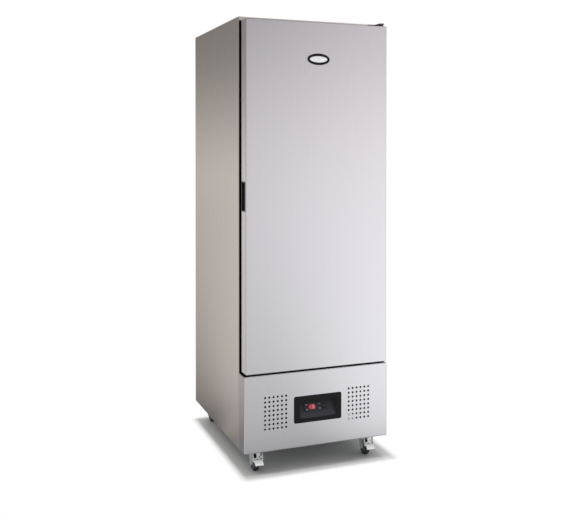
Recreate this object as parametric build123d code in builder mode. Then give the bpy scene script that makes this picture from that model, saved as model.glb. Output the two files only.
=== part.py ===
import os
from math import atan, cos, degrees, radians, sin, tan

from build123d import *

os.makedirs("parts", exist_ok=True)

# Upright catering freezer with one solid door, standing on four castors.
# Millimetres: X to the right, Y to the back, Z up from the floor.
# The origin is on the floor under the middle of the whole outline.

# Overall sizes
body_width = 600
body_depth = 700  # face of the door to the back panel
body_height = 1645  # underside of the body to its top
castor_height = 90
trim_proud = 1.6  # badge and control bezel stand this far out of the front

# Sheet metal
skin = 0.8
fold_radius = 3  # to the middle of the sheet
flange_width = 34  # front flanges of the cabinet
front_sheet = 1.0  # door pan and fascia
front_edge_radius = 4

# Cabinet front
door_stack = 66  # door face to the cabinet's front flanges
fascia_height = 291
door_gap = 5.5  # between fascia and door
door_top_drop = 15.5
door_inset_left = 7
door_inset_right = 3

# Insulated box
side_wall = 50
back_wall = 50
top_wall = 55
floor_wall = 55
liner_sheet = 1.2
liner_corner_radius = 12
breaker_depth = 5  # black strip round the mouth

# Door
pan_depth = 49
door_frame_depth = 6
door_frame_band = 42
gasket_width = 15
gasket_inset = 12
gasket_clearance = 0.3
inner_pad_height = 12
inner_pad_inset = 14
inner_sheet = 1.5

# Pocket grip in the left edge of the door
grip_height = 113
grip_centre_z = 1054.5
grip_rim = 5
grip_wall = 2
grip_depth = 24
grip_front_margin = 6
grip_proud = 1

# Badge, left bare
badge_width = 93
badge_height = 44.5
badge_rim = 6
badge_z = 1577.5
badge_field_drop = 0.8

# Fascia grilles: holes on a square pitch, one block each side of the bezel
hole_diameter = 8.4
hole_pitch = 17
hole_columns = 6
hole_rows = 8
grille_offset_x = 174

# Control bezel and what sits in it
bezel_width = 199
bezel_height = 103
bezel_drop = 1  # below the centre of the fascia
bezel_corner_radius = 7
bezel_wall = 2
recess_width = 156
recess_height = 68
recess_corner_radius = 6
recess_x = 2.5
recess_drop = 2  # centre of the recess below the centre of the bezel
recess_top_depth = 32  # behind the fascia's face; the floor leans back from its lower edge
recess_bottom_depth = 3
recess_draft = 8  # degrees
controller_width = 74
controller_height = 31
controller_x = -14.3
controller_rise = 2  # up the leaning floor from its centre
controller_face = 4
controller_body_depth = 58
controller_lip = 2
window_width = 30
window_height = 22
window_x = -4.4
button_width = 9
button_height = 6
button_offset_x = 27
button_offset_z = 9
button_proud = 1
button_clearance = 0.3
button_length = 6
button_travel = 0.8
rocker_x = 31.5
rocker_rise = -0.5
rocker_frame_width = 15
rocker_frame_height = 22
rocker_frame_wall = 2
rocker_frame_proud = 2
rocker_body_depth = 20
rocker_clearance = 0.3
rocker_tilt = 10  # degrees each way
rocker_pivot_radius = 1.5

# Hinges
hinge_axis_inset = 12  # from the right edge of the door
hinge_pin_radius = 5
hinge_running_clearance = 0.06
bush_wall = 3
bush_flange = 1.2
bush_flange_overhang = 3
bush_length = 22
hinge_end_radius = 12
hinge_face_gap = 0.4
upper_hinge_plate = 4
upper_hinge_drop = 2.5  # top of the upper plate below the top of the cabinet
upper_leg_width = 50
upper_leg_height = 24
upper_collar_radius = 8
lower_hinge_plate = 3
lower_leg_height = 30

# Castors
castor_side_inset = 65  # swivel axis from the side
castor_front_inset = 24  # front swivel axis behind the cabinet's front flanges
castor_back_inset = 64  # rear swivel axis in front of the back
castor_trail = 24
wheel_diameter = 60
wheel_width = 22
wheel_gap = 1.0  # wheel to each fork leg
axle_radius = 4
axle_clearance = 0.06
fork_sheet = 2.5
castor_plate_size = 50
castor_plate_thickness = 3
race_radius = 21
race_height = 7
kingpin_radius = 5
race_gap = 0.4
pedal_width = 33
pedal_length = 20
pedal_sheet = 2
pedal_drop_angle = 38  # degrees below level
pedal_pin_radius = 2.5
pedal_side_gap = 0.6
pedal_pivot_reach = 61  # in front of the swivel axis
pedal_pivot_z = 51
brake_gap = 2.2  # brake shoe to tread
brake_width = 10
shoe_low_angle = 15  # degrees round the wheel, up from its front
shoe_high_angle = 25

# Machine compartment
tray_sheet = 1.5
tray_lip = 25

# Places that follow from the sizes above
right_x = body_width / 2
overall_depth = body_depth + trim_proud
trim_y = -overall_depth / 2
front_y = trim_y + trim_proud
back_y = overall_depth / 2
cabinet_front_y = front_y + door_stack
base_z = castor_height
top_z = base_z + body_height
fascia_top_z = base_z + fascia_height
deck_z = fascia_top_z
door_left_x = -right_x + door_inset_left
door_right_x = right_x - door_inset_right
door_bottom_z = fascia_top_z + door_gap
door_top_z = top_z - door_top_drop
door_centre_x = (door_left_x + door_right_x) / 2
pan_back_y = front_y + pan_depth
frame_back_y = pan_back_y + door_frame_depth
gasket_back_y = cabinet_front_y - gasket_clearance
liner_half_width = right_x - side_wall
liner_front_y = cabinet_front_y + breaker_depth
liner_back_y = back_y - back_wall
liner_bottom_z = deck_z + floor_wall
liner_top_z = top_z - top_wall
mouth_half_width = liner_half_width - liner_sheet
fascia_centre_z = (base_z + fascia_top_z) / 2
bezel_z = fascia_centre_z - bezel_drop
recess_z = bezel_z - recess_drop
hinge_x = door_right_x - hinge_axis_inset
hinge_y = front_y + pan_depth / 2
castor_x = right_x - castor_side_inset
castor_front_y = cabinet_front_y + castor_front_inset
castor_back_y = back_y - castor_back_inset
wheel_radius = wheel_diameter / 2


def save(part, name):
    part.label = name
    export_step(part, f"parts/{name}.step")


def block(x0, x1, y0, y1, z0, z1, mode=Mode.ADD):
    """A box between two corners, added to or cut from the part being built."""
    with Locations(((x0 + x1) / 2, (y0 + y1) / 2, (z0 + z1) / 2)):
        Box(abs(x1 - x0), abs(y1 - y0), abs(z1 - z0), mode=mode)


def upright(y):
    """The upright plane at depth y: X to the right, Z up, and its normal to the front."""
    return Plane.XZ.offset(-y)


def sheet_section(*points):
    """A bent sheet's section, from points on the middle of the sheet."""
    with BuildSketch() as section:
        with BuildLine():
            FilletPolyline(*points, radius=fold_radius)
        trace(line_width=skin)
    return section.sketch


# Outer skins of the cabinet
def side_panel(side):
    wall_x = side * (right_x - skin / 2)
    return_width = 20
    with BuildPart() as panel:
        with BuildSketch(Plane.XY.offset(base_z)):
            add(
                sheet_section(
                    (side * (right_x - flange_width), cabinet_front_y + skin / 2),
                    (wall_x, cabinet_front_y + skin / 2),
                    (wall_x, back_y),
                )
            )
        extrude(amount=body_height)
        block(
            side * right_x,
            side * (right_x - return_width),
            back_y - 2 * skin,
            back_y - skin,
            base_z,
            deck_z,
        )
    return panel.part


save(side_panel(-1), "left_side_panel")
save(side_panel(1), "right_side_panel")


def lengthwise_sheet(*points):
    """A sheet folded about X that fits between the side panels and clears their front flanges."""
    between = right_x - skin
    fold_size = fold_radius + skin / 2
    notches = ((flange_width, skin), (fold_size, fold_size))
    with BuildPart() as sheet:
        with BuildSketch(Plane.YZ.offset(-between)):
            add(sheet_section(*points))
        extrude(amount=2 * between)
        for side in (-1, 1):
            for width, depth in notches:
                block(
                    side * (right_x - width),
                    side * right_x,
                    cabinet_front_y,
                    cabinet_front_y + depth,
                    base_z,
                    top_z,
                    mode=Mode.SUBTRACT,
                )
    return sheet.part


top_panel = lengthwise_sheet(
    (cabinet_front_y + skin / 2, top_z - flange_width),
    (cabinet_front_y + skin / 2, top_z - skin / 2),
    (back_y, top_z - skin / 2),
)
save(top_panel, "top_panel")

# Chase for the pipes that climb through the foam behind the liner and enter it near the top
chase_side_inset = 210
chase_x = right_x - chase_side_inset
chase_width = 60
chase_depth = 24
chase_y = liner_back_y + (back_wall - skin) / 2
chase_top_z = liner_top_z - 30
chase_window_height = 110


def pipe_chase():
    """Cuts the upright chase and its window into the liner from the part being built."""
    x0 = chase_x - chase_width / 2
    x1 = chase_x + chase_width / 2
    y1 = chase_y + chase_depth / 2
    block(x0, x1, y1 - chase_depth, y1, deck_z, chase_top_z, mode=Mode.SUBTRACT)
    window_z = chase_top_z - chase_window_height
    block(x0, x1, liner_back_y - 3, y1, window_z, chase_top_z, mode=Mode.SUBTRACT)

deck_sheet = lengthwise_sheet(
    (cabinet_front_y + skin / 2, deck_z + flange_width),
    (cabinet_front_y + skin / 2, deck_z + skin / 2),
    (back_y - skin, deck_z + skin / 2),
)
with BuildPart() as compressor_deck:
    add(deck_sheet)
    pipe_chase()
save(compressor_deck.part, "compressor_deck")

with BuildPart() as back_panel:
    block(-right_x + skin, right_x - skin, back_y - skin, back_y, deck_z, top_z - skin)
save(back_panel.part, "back_panel")

# Inner liner: a box open to the front, and the foam that fills what it leaves
with BuildPart() as liner_form:
    block(
        -liner_half_width,
        liner_half_width,
        liner_front_y,
        liner_back_y,
        liner_bottom_z,
        liner_top_z,
    )
    fillet(liner_form.edges().filter_by(Axis.Y), radius=liner_corner_radius)

with BuildPart() as inner_liner:
    add(liner_form.part)
    offset(amount=-liner_sheet, openings=inner_liner.faces().sort_by(Axis.Y)[0])
    pipe_chase()
save(inner_liner.part, "inner_liner")

breaker_half_width = right_x - flange_width
breaker_bottom_z = deck_z + flange_width
breaker_top_z = top_z - flange_width

with BuildPart() as front_frame:
    block(
        -breaker_half_width,
        breaker_half_width,
        cabinet_front_y,
        liner_front_y,
        breaker_bottom_z,
        breaker_top_z,
    )
    block(
        -mouth_half_width,
        mouth_half_width,
        cabinet_front_y,
        liner_front_y,
        liner_bottom_z + liner_sheet,
        liner_top_z - liner_sheet,
        mode=Mode.SUBTRACT,
    )
save(front_frame.part, "front_frame")

with BuildPart() as cabinet_insulation:
    block(
        -right_x + skin,
        right_x - skin,
        cabinet_front_y + skin,
        back_y - skin,
        deck_z + skin,
        top_z - skin,
    )
    front_edges = cabinet_insulation.faces().sort_by(Axis.Y)[0].edges()
    fillet(front_edges, radius=fold_radius - skin / 2)
    block(
        -breaker_half_width,
        breaker_half_width,
        cabinet_front_y,
        liner_front_y,
        breaker_bottom_z,
        breaker_top_z,
        mode=Mode.SUBTRACT,
    )
    block(
        -liner_half_width,
        liner_half_width,
        liner_front_y,
        liner_back_y,
        liner_bottom_z,
        liner_top_z,
        mode=Mode.SUBTRACT,
    )
    pipe_chase()
save(cabinet_insulation.part, "cabinet_insulation")


# Door: a folded pan full of foam
def pan_form(x0, x1, z0, z1, depth, inset):
    """The solid inside a pan with rounded front and corner edges, its walls inset thick."""
    with BuildPart() as form:
        block(
            x0 + inset,
            x1 - inset,
            front_y + inset,
            front_y + depth,
            z0 + inset,
            z1 - inset,
        )
        front_edges = form.faces().sort_by(Axis.Y)[0].edges()
        corner_edges = form.edges().filter_by(Axis.Y)
        fillet(front_edges + corner_edges, radius=front_edge_radius - inset)
    return form.part


door_solid = pan_form(
    door_left_x, door_right_x, door_bottom_z, door_top_z, pan_depth, 0
)
door_core = pan_form(
    door_left_x, door_right_x, door_bottom_z, door_top_z, pan_depth, front_sheet
)

grip_bottom_z = grip_centre_z - grip_height / 2
grip_top_z = grip_centre_z + grip_height / 2
grip_front_y = front_y + grip_front_margin
grip_back_y = pan_back_y
grip_inner_x = door_left_x + grip_depth
bush_radius = hinge_pin_radius + hinge_running_clearance + bush_wall


def grip_body(mode):
    """The outside of the grip's moulding behind its rim."""
    block(
        door_left_x,
        grip_inner_x,
        grip_front_y + grip_rim - grip_wall,
        grip_back_y - grip_rim + grip_wall,
        grip_bottom_z + grip_rim - grip_wall,
        grip_top_z - grip_rim + grip_wall,
        mode=mode,
    )


def bush_holes():
    """Round holes through the door's lower and upper edges for the hinge bushes."""
    for z in (door_bottom_z, door_top_z):
        with Locations((hinge_x, hinge_y, z)):
            Cylinder(bush_radius, 2 * bush_length, mode=Mode.SUBTRACT)


with BuildPart() as door_outer_panel:
    add(door_solid)
    add(door_core, mode=Mode.SUBTRACT)
    grip_body(Mode.SUBTRACT)
    bush_holes()
save(door_outer_panel.part, "door_outer_panel")

pad_left_x = door_left_x + door_frame_band + inner_pad_inset
pad_right_x = door_right_x - door_frame_band - inner_pad_inset
pad_bottom_z = door_bottom_z + door_frame_band + inner_pad_inset
pad_top_z = door_top_z - door_frame_band - inner_pad_inset
pad_draft = 20  # degrees


def inner_pad(inset):
    """The raised field pressed into the door's inner sheet."""
    width = pad_right_x - pad_left_x - 2 * inset
    height = pad_top_z - pad_bottom_z - 2 * inset
    with BuildPart() as pad:
        with BuildSketch(upright(pan_back_y)):
            with Locations((door_centre_x, (pad_bottom_z + pad_top_z) / 2)):
                RectangleRounded(width, height, radius=30 - inset)
        extrude(amount=-(inner_pad_height - inset), taper=pad_draft)
    return pad.part


with BuildPart() as door_insulation:
    add(door_core)
    add(inner_pad(inner_sheet))
    grip_body(Mode.SUBTRACT)
    bush_holes()
save(door_insulation.part, "door_insulation")

with BuildPart() as door_inner_panel:
    block(
        door_left_x + door_frame_band,
        door_right_x - door_frame_band,
        pan_back_y,
        pan_back_y + inner_sheet,
        door_bottom_z + door_frame_band,
        door_top_z - door_frame_band,
    )
    add(inner_pad(0))
    add(inner_pad(inner_sheet), mode=Mode.SUBTRACT)
save(door_inner_panel.part, "door_inner_panel")


def door_ring(y, outer_inset, band, depth, corner):
    """A rectangular ring that follows the door's outline, from depth y to the back."""
    width = door_right_x - door_left_x - 2 * outer_inset
    height = door_top_z - door_bottom_z - 2 * outer_inset
    with BuildPart() as ring:
        with BuildSketch(upright(y)):
            with Locations((door_centre_x, (door_bottom_z + door_top_z) / 2)):
                RectangleRounded(width, height, radius=corner)
                Rectangle(width - 2 * band, height - 2 * band, mode=Mode.SUBTRACT)
        extrude(amount=-depth)
    return ring.part


with BuildPart() as door_frame:
    add(door_ring(pan_back_y, 0, door_frame_band, inner_sheet, front_edge_radius))
    add(
        door_ring(
            pan_back_y + inner_sheet,
            0,
            door_frame_band - 8,
            door_frame_depth - inner_sheet,
            front_edge_radius,
        )
    )
save(door_frame.part, "door_frame")

# Magnetic gasket: foot, bellows and magnet head
gasket_depth = gasket_back_y - frame_back_y
gasket_foot = 2.5
gasket_head = 4
with BuildPart() as door_gasket:
    add(door_ring(frame_back_y, gasket_inset, gasket_width, gasket_foot, 5))
    add(
        door_ring(
            frame_back_y + gasket_foot,
            gasket_inset + 3,
            gasket_width - 6,
            gasket_depth - gasket_foot - gasket_head,
            5,
        )
    )
    head_y = gasket_back_y - gasket_head
    add(door_ring(head_y, gasket_inset, gasket_width, gasket_head, 5))
save(door_gasket.part, "door_gasket")

# Pocket grip
with BuildPart() as handle_grip:
    block(
        door_left_x - grip_proud,
        door_left_x,
        grip_front_y,
        grip_back_y,
        grip_bottom_z,
        grip_top_z,
    )
    rim_corners = handle_grip.edges().filter_by(Axis.X)
    fillet(rim_corners, radius=grip_rim - 1)
    grip_body(Mode.ADD)
    block(
        door_left_x - grip_proud,
        grip_inner_x - grip_wall,
        grip_front_y + grip_rim,
        grip_back_y - grip_rim,
        grip_bottom_z + grip_rim,
        grip_top_z - grip_rim,
        mode=Mode.SUBTRACT,
    )
save(handle_grip.part, "handle_grip")

# Oval badge with a raised rim round a bare field
with BuildPart() as badge:
    with BuildSketch(upright(front_y)):
        with Locations((door_centre_x, badge_z)):
            Ellipse(badge_width / 2, badge_height / 2)
    extrude(amount=trim_proud)
    with BuildSketch(upright(trim_y)):
        with Locations((door_centre_x, badge_z)):
            Ellipse(badge_width / 2 - badge_rim, badge_height / 2 - badge_rim)
    extrude(amount=-badge_field_drop, mode=Mode.SUBTRACT)
save(badge.part, "badge")

# Hinges: a plate with a fixed pin at the top and at the bottom, and a bush in the door for each
upper_plate_top_z = top_z - upper_hinge_drop
upper_plate_z = upper_plate_top_z - upper_hinge_plate
upper_collar_z = door_top_z + bush_flange + hinge_face_gap
lower_plate_top_z = door_bottom_z - bush_flange - hinge_face_gap
lower_plate_z = lower_plate_top_z - lower_hinge_plate
hinge_right_x = hinge_x + hinge_end_radius


def hinge_outline():
    """Plate from the cabinet's front flange to a round end about the hinge axis."""
    with BuildSketch() as outline:
        with Locations((hinge_x, hinge_y)):
            Circle(hinge_end_radius)
        with Locations((hinge_x, (hinge_y + cabinet_front_y) / 2)):
            Rectangle(2 * hinge_end_radius, cabinet_front_y - hinge_y)
    return outline.sketch


with BuildPart() as top_hinge:
    with BuildSketch(Plane.XY.offset(upper_plate_z)):
        add(hinge_outline())
    extrude(amount=upper_hinge_plate)
    block(
        hinge_right_x - upper_leg_width,
        hinge_right_x,
        cabinet_front_y - upper_hinge_plate,
        cabinet_front_y,
        upper_plate_top_z - upper_leg_height,
        upper_plate_top_z,
    )
    with BuildSketch(Plane.XY.offset(upper_collar_z)):
        with Locations((hinge_x, hinge_y)):
            Circle(upper_collar_radius)
    extrude(amount=upper_plate_z - upper_collar_z)
    with Locations((hinge_x, hinge_y, upper_collar_z - bush_length / 2)):
        Cylinder(hinge_pin_radius, bush_length)
save(top_hinge.part, "top_hinge")

with BuildPart() as bottom_hinge:
    with BuildSketch(Plane.XY.offset(lower_plate_z)):
        add(hinge_outline())
    extrude(amount=lower_hinge_plate)
    block(
        hinge_x - hinge_end_radius,
        hinge_right_x,
        cabinet_front_y - lower_hinge_plate,
        cabinet_front_y,
        lower_plate_top_z - lower_leg_height,
        lower_plate_top_z,
    )
    with Locations((hinge_x, hinge_y, lower_plate_top_z + bush_length / 2)):
        Cylinder(hinge_pin_radius, bush_length)
save(bottom_hinge.part, "bottom_hinge")

with BuildPart() as hinge_bushes:
    for edge_z, outward in ((door_bottom_z, -1), (door_top_z, 1)):
        with Locations((hinge_x, hinge_y, edge_z - outward * bush_length / 2)):
            Cylinder(bush_radius, bush_length)
        with Locations((hinge_x, hinge_y, edge_z + outward * bush_flange / 2)):
            Cylinder(bush_radius + bush_flange_overhang, bush_flange)
        with Locations((hinge_x, hinge_y, edge_z)):
            Cylinder(
                hinge_pin_radius + hinge_running_clearance,
                3 * bush_length,
                mode=Mode.SUBTRACT,
            )
save(hinge_bushes.part, "hinge_bushes")

# Fascia: a folded pan with two blocks of round holes and a window for the control bezel
fascia_solid = pan_form(-right_x, right_x, base_z, fascia_top_z, door_stack, 0)
fascia_core = pan_form(-right_x, right_x, base_z, fascia_top_z, door_stack, front_sheet)
bezel_cutout_margin = 8  # the bezel's flange overlaps the fascia by this much
hinge_notch = 1
fascia_tab_x = (-190, 190)
fascia_tab_width = 24
fascia_screw_y = front_y + 45
screw_radius = 2
screw_head_height = 1.6

with BuildPart() as fascia:
    add(fascia_solid)
    add(fascia_core, mode=Mode.SUBTRACT)
    with BuildSketch(upright(front_y)):
        with Locations((0, bezel_z)):
            RectangleRounded(
                bezel_width - 2 * bezel_cutout_margin,
                bezel_height - 2 * bezel_cutout_margin,
                radius=bezel_corner_radius - 2,
            )
        for side in (-1, 1):
            with Locations((side * grille_offset_x, fascia_centre_z)):
                with GridLocations(hole_pitch, hole_pitch, hole_columns, hole_rows):
                    Circle(hole_diameter / 2)
    extrude(amount=-front_sheet, mode=Mode.SUBTRACT)
    block(
        hinge_x - hinge_end_radius - hinge_notch,
        hinge_right_x + hinge_notch,
        cabinet_front_y - lower_hinge_plate - hinge_notch,
        cabinet_front_y,
        fascia_top_z - 2 * front_sheet,
        fascia_top_z,
        mode=Mode.SUBTRACT,
    )
    for x in fascia_tab_x:
        with Locations((x, fascia_screw_y, base_z)):
            Cylinder(screw_radius + 0.1, 4 * front_sheet, mode=Mode.SUBTRACT)
save(fascia.part, "fascia")

# Control bezel: a flange in front of the fascia, and a bucket behind it whose floor leans back
recess_depth = (recess_top_depth + recess_bottom_depth) / 2
recess_tilt = degrees(atan((recess_top_depth - recess_bottom_depth) / recess_height))
# What sits on that floor is drawn upright round the origin, its back at y 0, and moved here
panel_seat = Pos(0, front_y + recess_depth, recess_z) * Rot(X=-recess_tilt)


def recess_form(face_y, margin):
    """A tapered block from this depth to the recess's leaning floor, margin larger all round."""
    room = 2 * recess_width
    with BuildPart() as form:
        with BuildSketch(upright(face_y)):
            with Locations((recess_x, recess_z)):
                RectangleRounded(
                    recess_width + 2 * margin,
                    recess_height + 2 * margin,
                    radius=recess_corner_radius + margin,
                )
        extrude(amount=-(recess_top_depth + 3 * bezel_wall), taper=recess_draft)
        with Locations(panel_seat * Pos(0, margin + room / 2, 0)):
            Box(room, room, room, mode=Mode.SUBTRACT)
    return form.part


def panel_cutout(width, height, x, z):
    """Cuts a block through the recess's floor, for what is put in from the front."""
    with Locations(panel_seat * Pos(x, bezel_wall / 2, z)):
        Box(width, 2 * bezel_wall, height, mode=Mode.SUBTRACT)


controller_body = (controller_width - 2 * controller_lip, controller_height - 2 * controller_lip)
rocker_body = (rocker_frame_width - rocker_frame_wall, rocker_frame_height - rocker_frame_wall)

with BuildPart() as controller_bezel:
    with BuildSketch(upright(front_y)):
        with Locations((0, bezel_z)):
            RectangleRounded(bezel_width, bezel_height, radius=bezel_corner_radius)
    extrude(amount=trim_proud)
    rim_edges = controller_bezel.faces().sort_by(Axis.Y)[0].edges()
    fillet(rim_edges, radius=trim_proud * 0.6)
    add(recess_form(front_y, bezel_wall))
    add(recess_form(trim_y, 0), mode=Mode.SUBTRACT)
    panel_cutout(*controller_body, controller_x, controller_rise)
    panel_cutout(*rocker_body, rocker_x, rocker_rise)
save(controller_bezel.part, "controller_bezel")

# Panel controller: a framed face, a body behind it, a shallow window and four key holes
window_drop = 0.8
button_places = [
    (controller_x + sx * button_offset_x, controller_rise + sz * button_offset_z)
    for sz in (1, -1)
    for sx in (-1, 1)
]
button_bore_depth = button_length + button_travel + 0.7

with BuildPart() as controller_module:
    with BuildSketch(upright(0)):
        with Locations((controller_x, controller_rise)):
            RectangleRounded(controller_width, controller_height, radius=2)
    extrude(amount=controller_face)
    with BuildSketch(upright(0)):
        with Locations((controller_x, controller_rise)):
            Rectangle(*controller_body)
    extrude(amount=-controller_body_depth)
    with BuildSketch(upright(-controller_face)):
        with Locations((controller_x + window_x, controller_rise)):
            RectangleRounded(window_width, window_height, radius=1.5)
    extrude(amount=-window_drop, mode=Mode.SUBTRACT)
    with BuildSketch(upright(-controller_face)):
        with Locations(*button_places):
            Rectangle(
                button_width + 2 * button_clearance,
                button_height + 2 * button_clearance,
            )
    extrude(amount=-button_bore_depth, mode=Mode.SUBTRACT)
save(panel_seat * controller_module.part, "controller_module")

for number, place in enumerate(button_places, start=1):
    with BuildPart() as button:
        with BuildSketch(upright(-controller_face - button_proud)):
            with Locations(place):
                RectangleRounded(button_width, button_height, radius=1.2)
        extrude(amount=-button_length)
    save(panel_seat * button.part, f"controller_button_{number}")

# Rocker switch: a frame with a hollow body, and a rocker on a cross pin
rocker_width = rocker_frame_width - 2 * rocker_frame_wall - 2 * rocker_clearance
rocker_length = rocker_frame_height - 2 * rocker_frame_wall - 4 * rocker_clearance
rocker_pivot_y = 1.0
rocker_thickness = 3.4
rocker_back_length = 2  # back of the pin's axis

with BuildPart() as rocker_housing:
    with BuildSketch(upright(0)):
        with Locations((rocker_x, rocker_rise)):
            RectangleRounded(rocker_frame_width, rocker_frame_height, radius=1.5)
    extrude(amount=rocker_frame_proud)
    with BuildSketch(upright(0)):
        with Locations((rocker_x, rocker_rise)):
            Rectangle(*rocker_body)
    extrude(amount=-rocker_body_depth)
    with BuildSketch(upright(-rocker_frame_proud)):
        with Locations((rocker_x, rocker_rise)):
            Rectangle(
                rocker_width + 2 * rocker_clearance,
                rocker_frame_height - 2 * rocker_frame_wall,
            )
    extrude(amount=-(rocker_frame_proud + 9), mode=Mode.SUBTRACT)
    with Locations((rocker_x, rocker_pivot_y, rocker_rise)):
        Cylinder(
            rocker_pivot_radius + 0.05,
            rocker_width + 2 * rocker_clearance + 1.0,
            rotation=(0, 90, 0),
            mode=Mode.SUBTRACT,
        )
save(panel_seat * rocker_housing.part, "rocker_housing")

with BuildPart() as rocker_switch:
    half = rocker_length / 2
    dip = half * tan(radians(rocker_tilt))
    with BuildSketch(Plane.YZ.offset(rocker_x - rocker_width / 2)):
        with BuildLine():
            Polyline(
                (rocker_pivot_y - rocker_thickness, rocker_rise + half),
                (rocker_pivot_y - rocker_thickness + dip, rocker_rise),
                (rocker_pivot_y - rocker_thickness, rocker_rise - half),
                (rocker_pivot_y, rocker_rise - half),
                (rocker_pivot_y + rocker_back_length, rocker_rise),
                (rocker_pivot_y, rocker_rise + half),
                close=True,
            )
        make_face()
    extrude(amount=rocker_width)
    with Locations((rocker_x, rocker_pivot_y, rocker_rise)):
        Cylinder(
            rocker_pivot_radius,
            rocker_width + 2 * rocker_clearance + 0.8,
            rotation=(0, 90, 0),
        )
rocker_axis = Axis((rocker_x, rocker_pivot_y, rocker_rise), (1, 0, 0))
rocker_pressed = rocker_switch.part.rotate(rocker_axis, rocker_tilt)
save(panel_seat * rocker_pressed, "rocker_switch")

# Shelves: pilasters on the liner's side walls, clips in them and wire shelves on the clips
pilaster_width = 20
pilaster_depth = 6
pilaster_inset_front = 70
pilaster_inset_back = 90
pilaster_y = (liner_front_y + pilaster_inset_front, liner_back_y - pilaster_inset_back)
pilaster_bottom_z = liner_bottom_z + liner_sheet + 20
pilaster_top_drop = 230  # clear of the evaporator cover
pilaster_top_z = liner_top_z - liner_sheet - pilaster_top_drop
shelf_count = 3
shelf_pitch = 265
first_shelf_height = 285
first_shelf_z = liner_bottom_z + first_shelf_height
shelf_z = [first_shelf_z + n * shelf_pitch for n in range(shelf_count)]
slot_width = 8
slot_height = 12
slot_depth = 4
slots_per_shelf = 5  # slots from one shelf to the next
slots_below = 4
slots_above = 3
slot_clearance = 0.4
clip_width = 12
clip_height = 14
clip_reach = 12
clip_tongue = 3
shelf_rod = 6
shelf_wire = 4
shelf_corner_radius = 14
weld_depth = 1.2  # wires sink this far into the rods
shelf_side_gap = 3
shelf_front_gap = 24
shelf_back_gap = 55
shelf_depth = liner_back_y - liner_front_y - shelf_front_gap - shelf_back_gap
shelf_wire_count = 15
pilaster_face_x = mouth_half_width - pilaster_depth
slot_pitch = shelf_pitch / slots_per_shelf
slot_count = slots_below + slots_per_shelf * (shelf_count - 1) + 1 + slots_above
first_slot_z = first_shelf_z - clip_height / 2 - slots_below * slot_pitch
slot_z = [first_slot_z + n * slot_pitch for n in range(slot_count)]

with BuildPart() as shelf_uprights:
    for side in (-1, 1):
        for y in pilaster_y:
            block(
                side * mouth_half_width,
                side * pilaster_face_x,
                y - pilaster_width / 2,
                y + pilaster_width / 2,
                pilaster_bottom_z,
                pilaster_top_z,
            )
        with BuildSketch(Plane.YZ.offset(side * pilaster_face_x)):
            with Locations([(y, z) for y in pilaster_y for z in slot_z]):
                Rectangle(slot_width, slot_height)
        extrude(amount=side * slot_depth, mode=Mode.SUBTRACT)
save(shelf_uprights.part, "shelf_uprights")

with BuildPart() as shelf_clips:
    for side in (-1, 1):
        for y in pilaster_y:
            for z in shelf_z:
                block(
                    side * pilaster_face_x,
                    side * (pilaster_face_x - clip_reach),
                    y - clip_width / 2,
                    y + clip_width / 2,
                    z - clip_height,
                    z,
                )
                with Locations((side * pilaster_face_x, y, z - clip_height / 2)):
                    Box(2 * clip_tongue, slot_width - slot_clearance, slot_height - slot_clearance)
save(shelf_clips.part, "shelf_clips")

shelf_half_width = pilaster_face_x - shelf_side_gap
shelf_front_y = liner_front_y + shelf_front_gap
shelf_back_y = shelf_front_y + shelf_depth


def wire_shelf():
    """Bent rod frame lying at height 0, with a cross rod and wires from front to back on top."""
    rod_z = shelf_rod / 2
    half = shelf_half_width - shelf_rod / 2
    reach = shelf_depth - shelf_rod
    middle = (shelf_front_y + shelf_back_y) / 2
    wire_z = rod_z + shelf_rod / 2 + shelf_wire / 2 - weld_depth
    rim = Pos(0, middle, rod_z) * RectangleRounded(2 * half, reach, radius=shelf_corner_radius)
    path = rim.wire()
    with BuildPart() as shelf:
        with BuildSketch(Plane(origin=path @ 0, x_dir=(0, 0, -1), z_dir=path % 0)):
            Circle(shelf_rod / 2)
        sweep(path=path)
        with Locations((0, middle, rod_z)):
            Cylinder(shelf_rod / 2, 2 * half, rotation=(0, 90, 0))
        spacing = 2 * half / (shelf_wire_count + 1)
        with Locations((0, middle, wire_z)):
            with GridLocations(spacing, 1, shelf_wire_count, 1):
                Cylinder(shelf_wire / 2, reach + 2 * weld_depth, rotation=(90, 0, 0))
    return shelf.part


shelf = wire_shelf()
for number, z in enumerate(shelf_z, start=1):
    save(Pos(0, 0, z) * shelf, f"shelf_{number}")

# Evaporator in the top of the box: a cover with a round fan opening, coil, motor and fan
cover_half_width = 215
cover_depth = 190
cover_height = 190
cover_sheet = 2
evaporator_fan_radius = 74
fan_opening_clearance = 5
cover_front_y = liner_back_y - liner_sheet - cover_depth
cover_bottom_z = liner_top_z - liner_sheet - cover_height
evaporator_fan_z = cover_bottom_z + cover_height / 2
evaporator_fan_x = -60

with BuildPart() as evaporator_cover:
    block(
        -cover_half_width,
        cover_half_width,
        cover_front_y,
        liner_back_y - liner_sheet,
        cover_bottom_z,
        liner_top_z - liner_sheet,
    )
    lower_front = evaporator_cover.edges().filter_by(Axis.X).group_by(Axis.Z)[0]
    fillet(lower_front.sort_by(Axis.Y)[0], radius=20)
    back_and_top = (
        evaporator_cover.faces().sort_by(Axis.Y)[-1],
        evaporator_cover.faces().sort_by(Axis.Z)[-1],
    )
    offset(amount=-cover_sheet, openings=back_and_top)
    with BuildSketch(upright(cover_front_y)):
        with Locations((evaporator_fan_x, evaporator_fan_z)):
            Circle(evaporator_fan_radius + fan_opening_clearance)
    extrude(amount=-cover_sheet, mode=Mode.SUBTRACT)
    with BuildSketch(Plane.XY.offset(cover_bottom_z)):
        with Locations((0, cover_front_y + cover_depth * 0.62)):
            with GridLocations(30, 1, 12, 1):
                SlotOverall(100, 12, rotation=90)
    extrude(amount=cover_sheet, mode=Mode.SUBTRACT)
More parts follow.
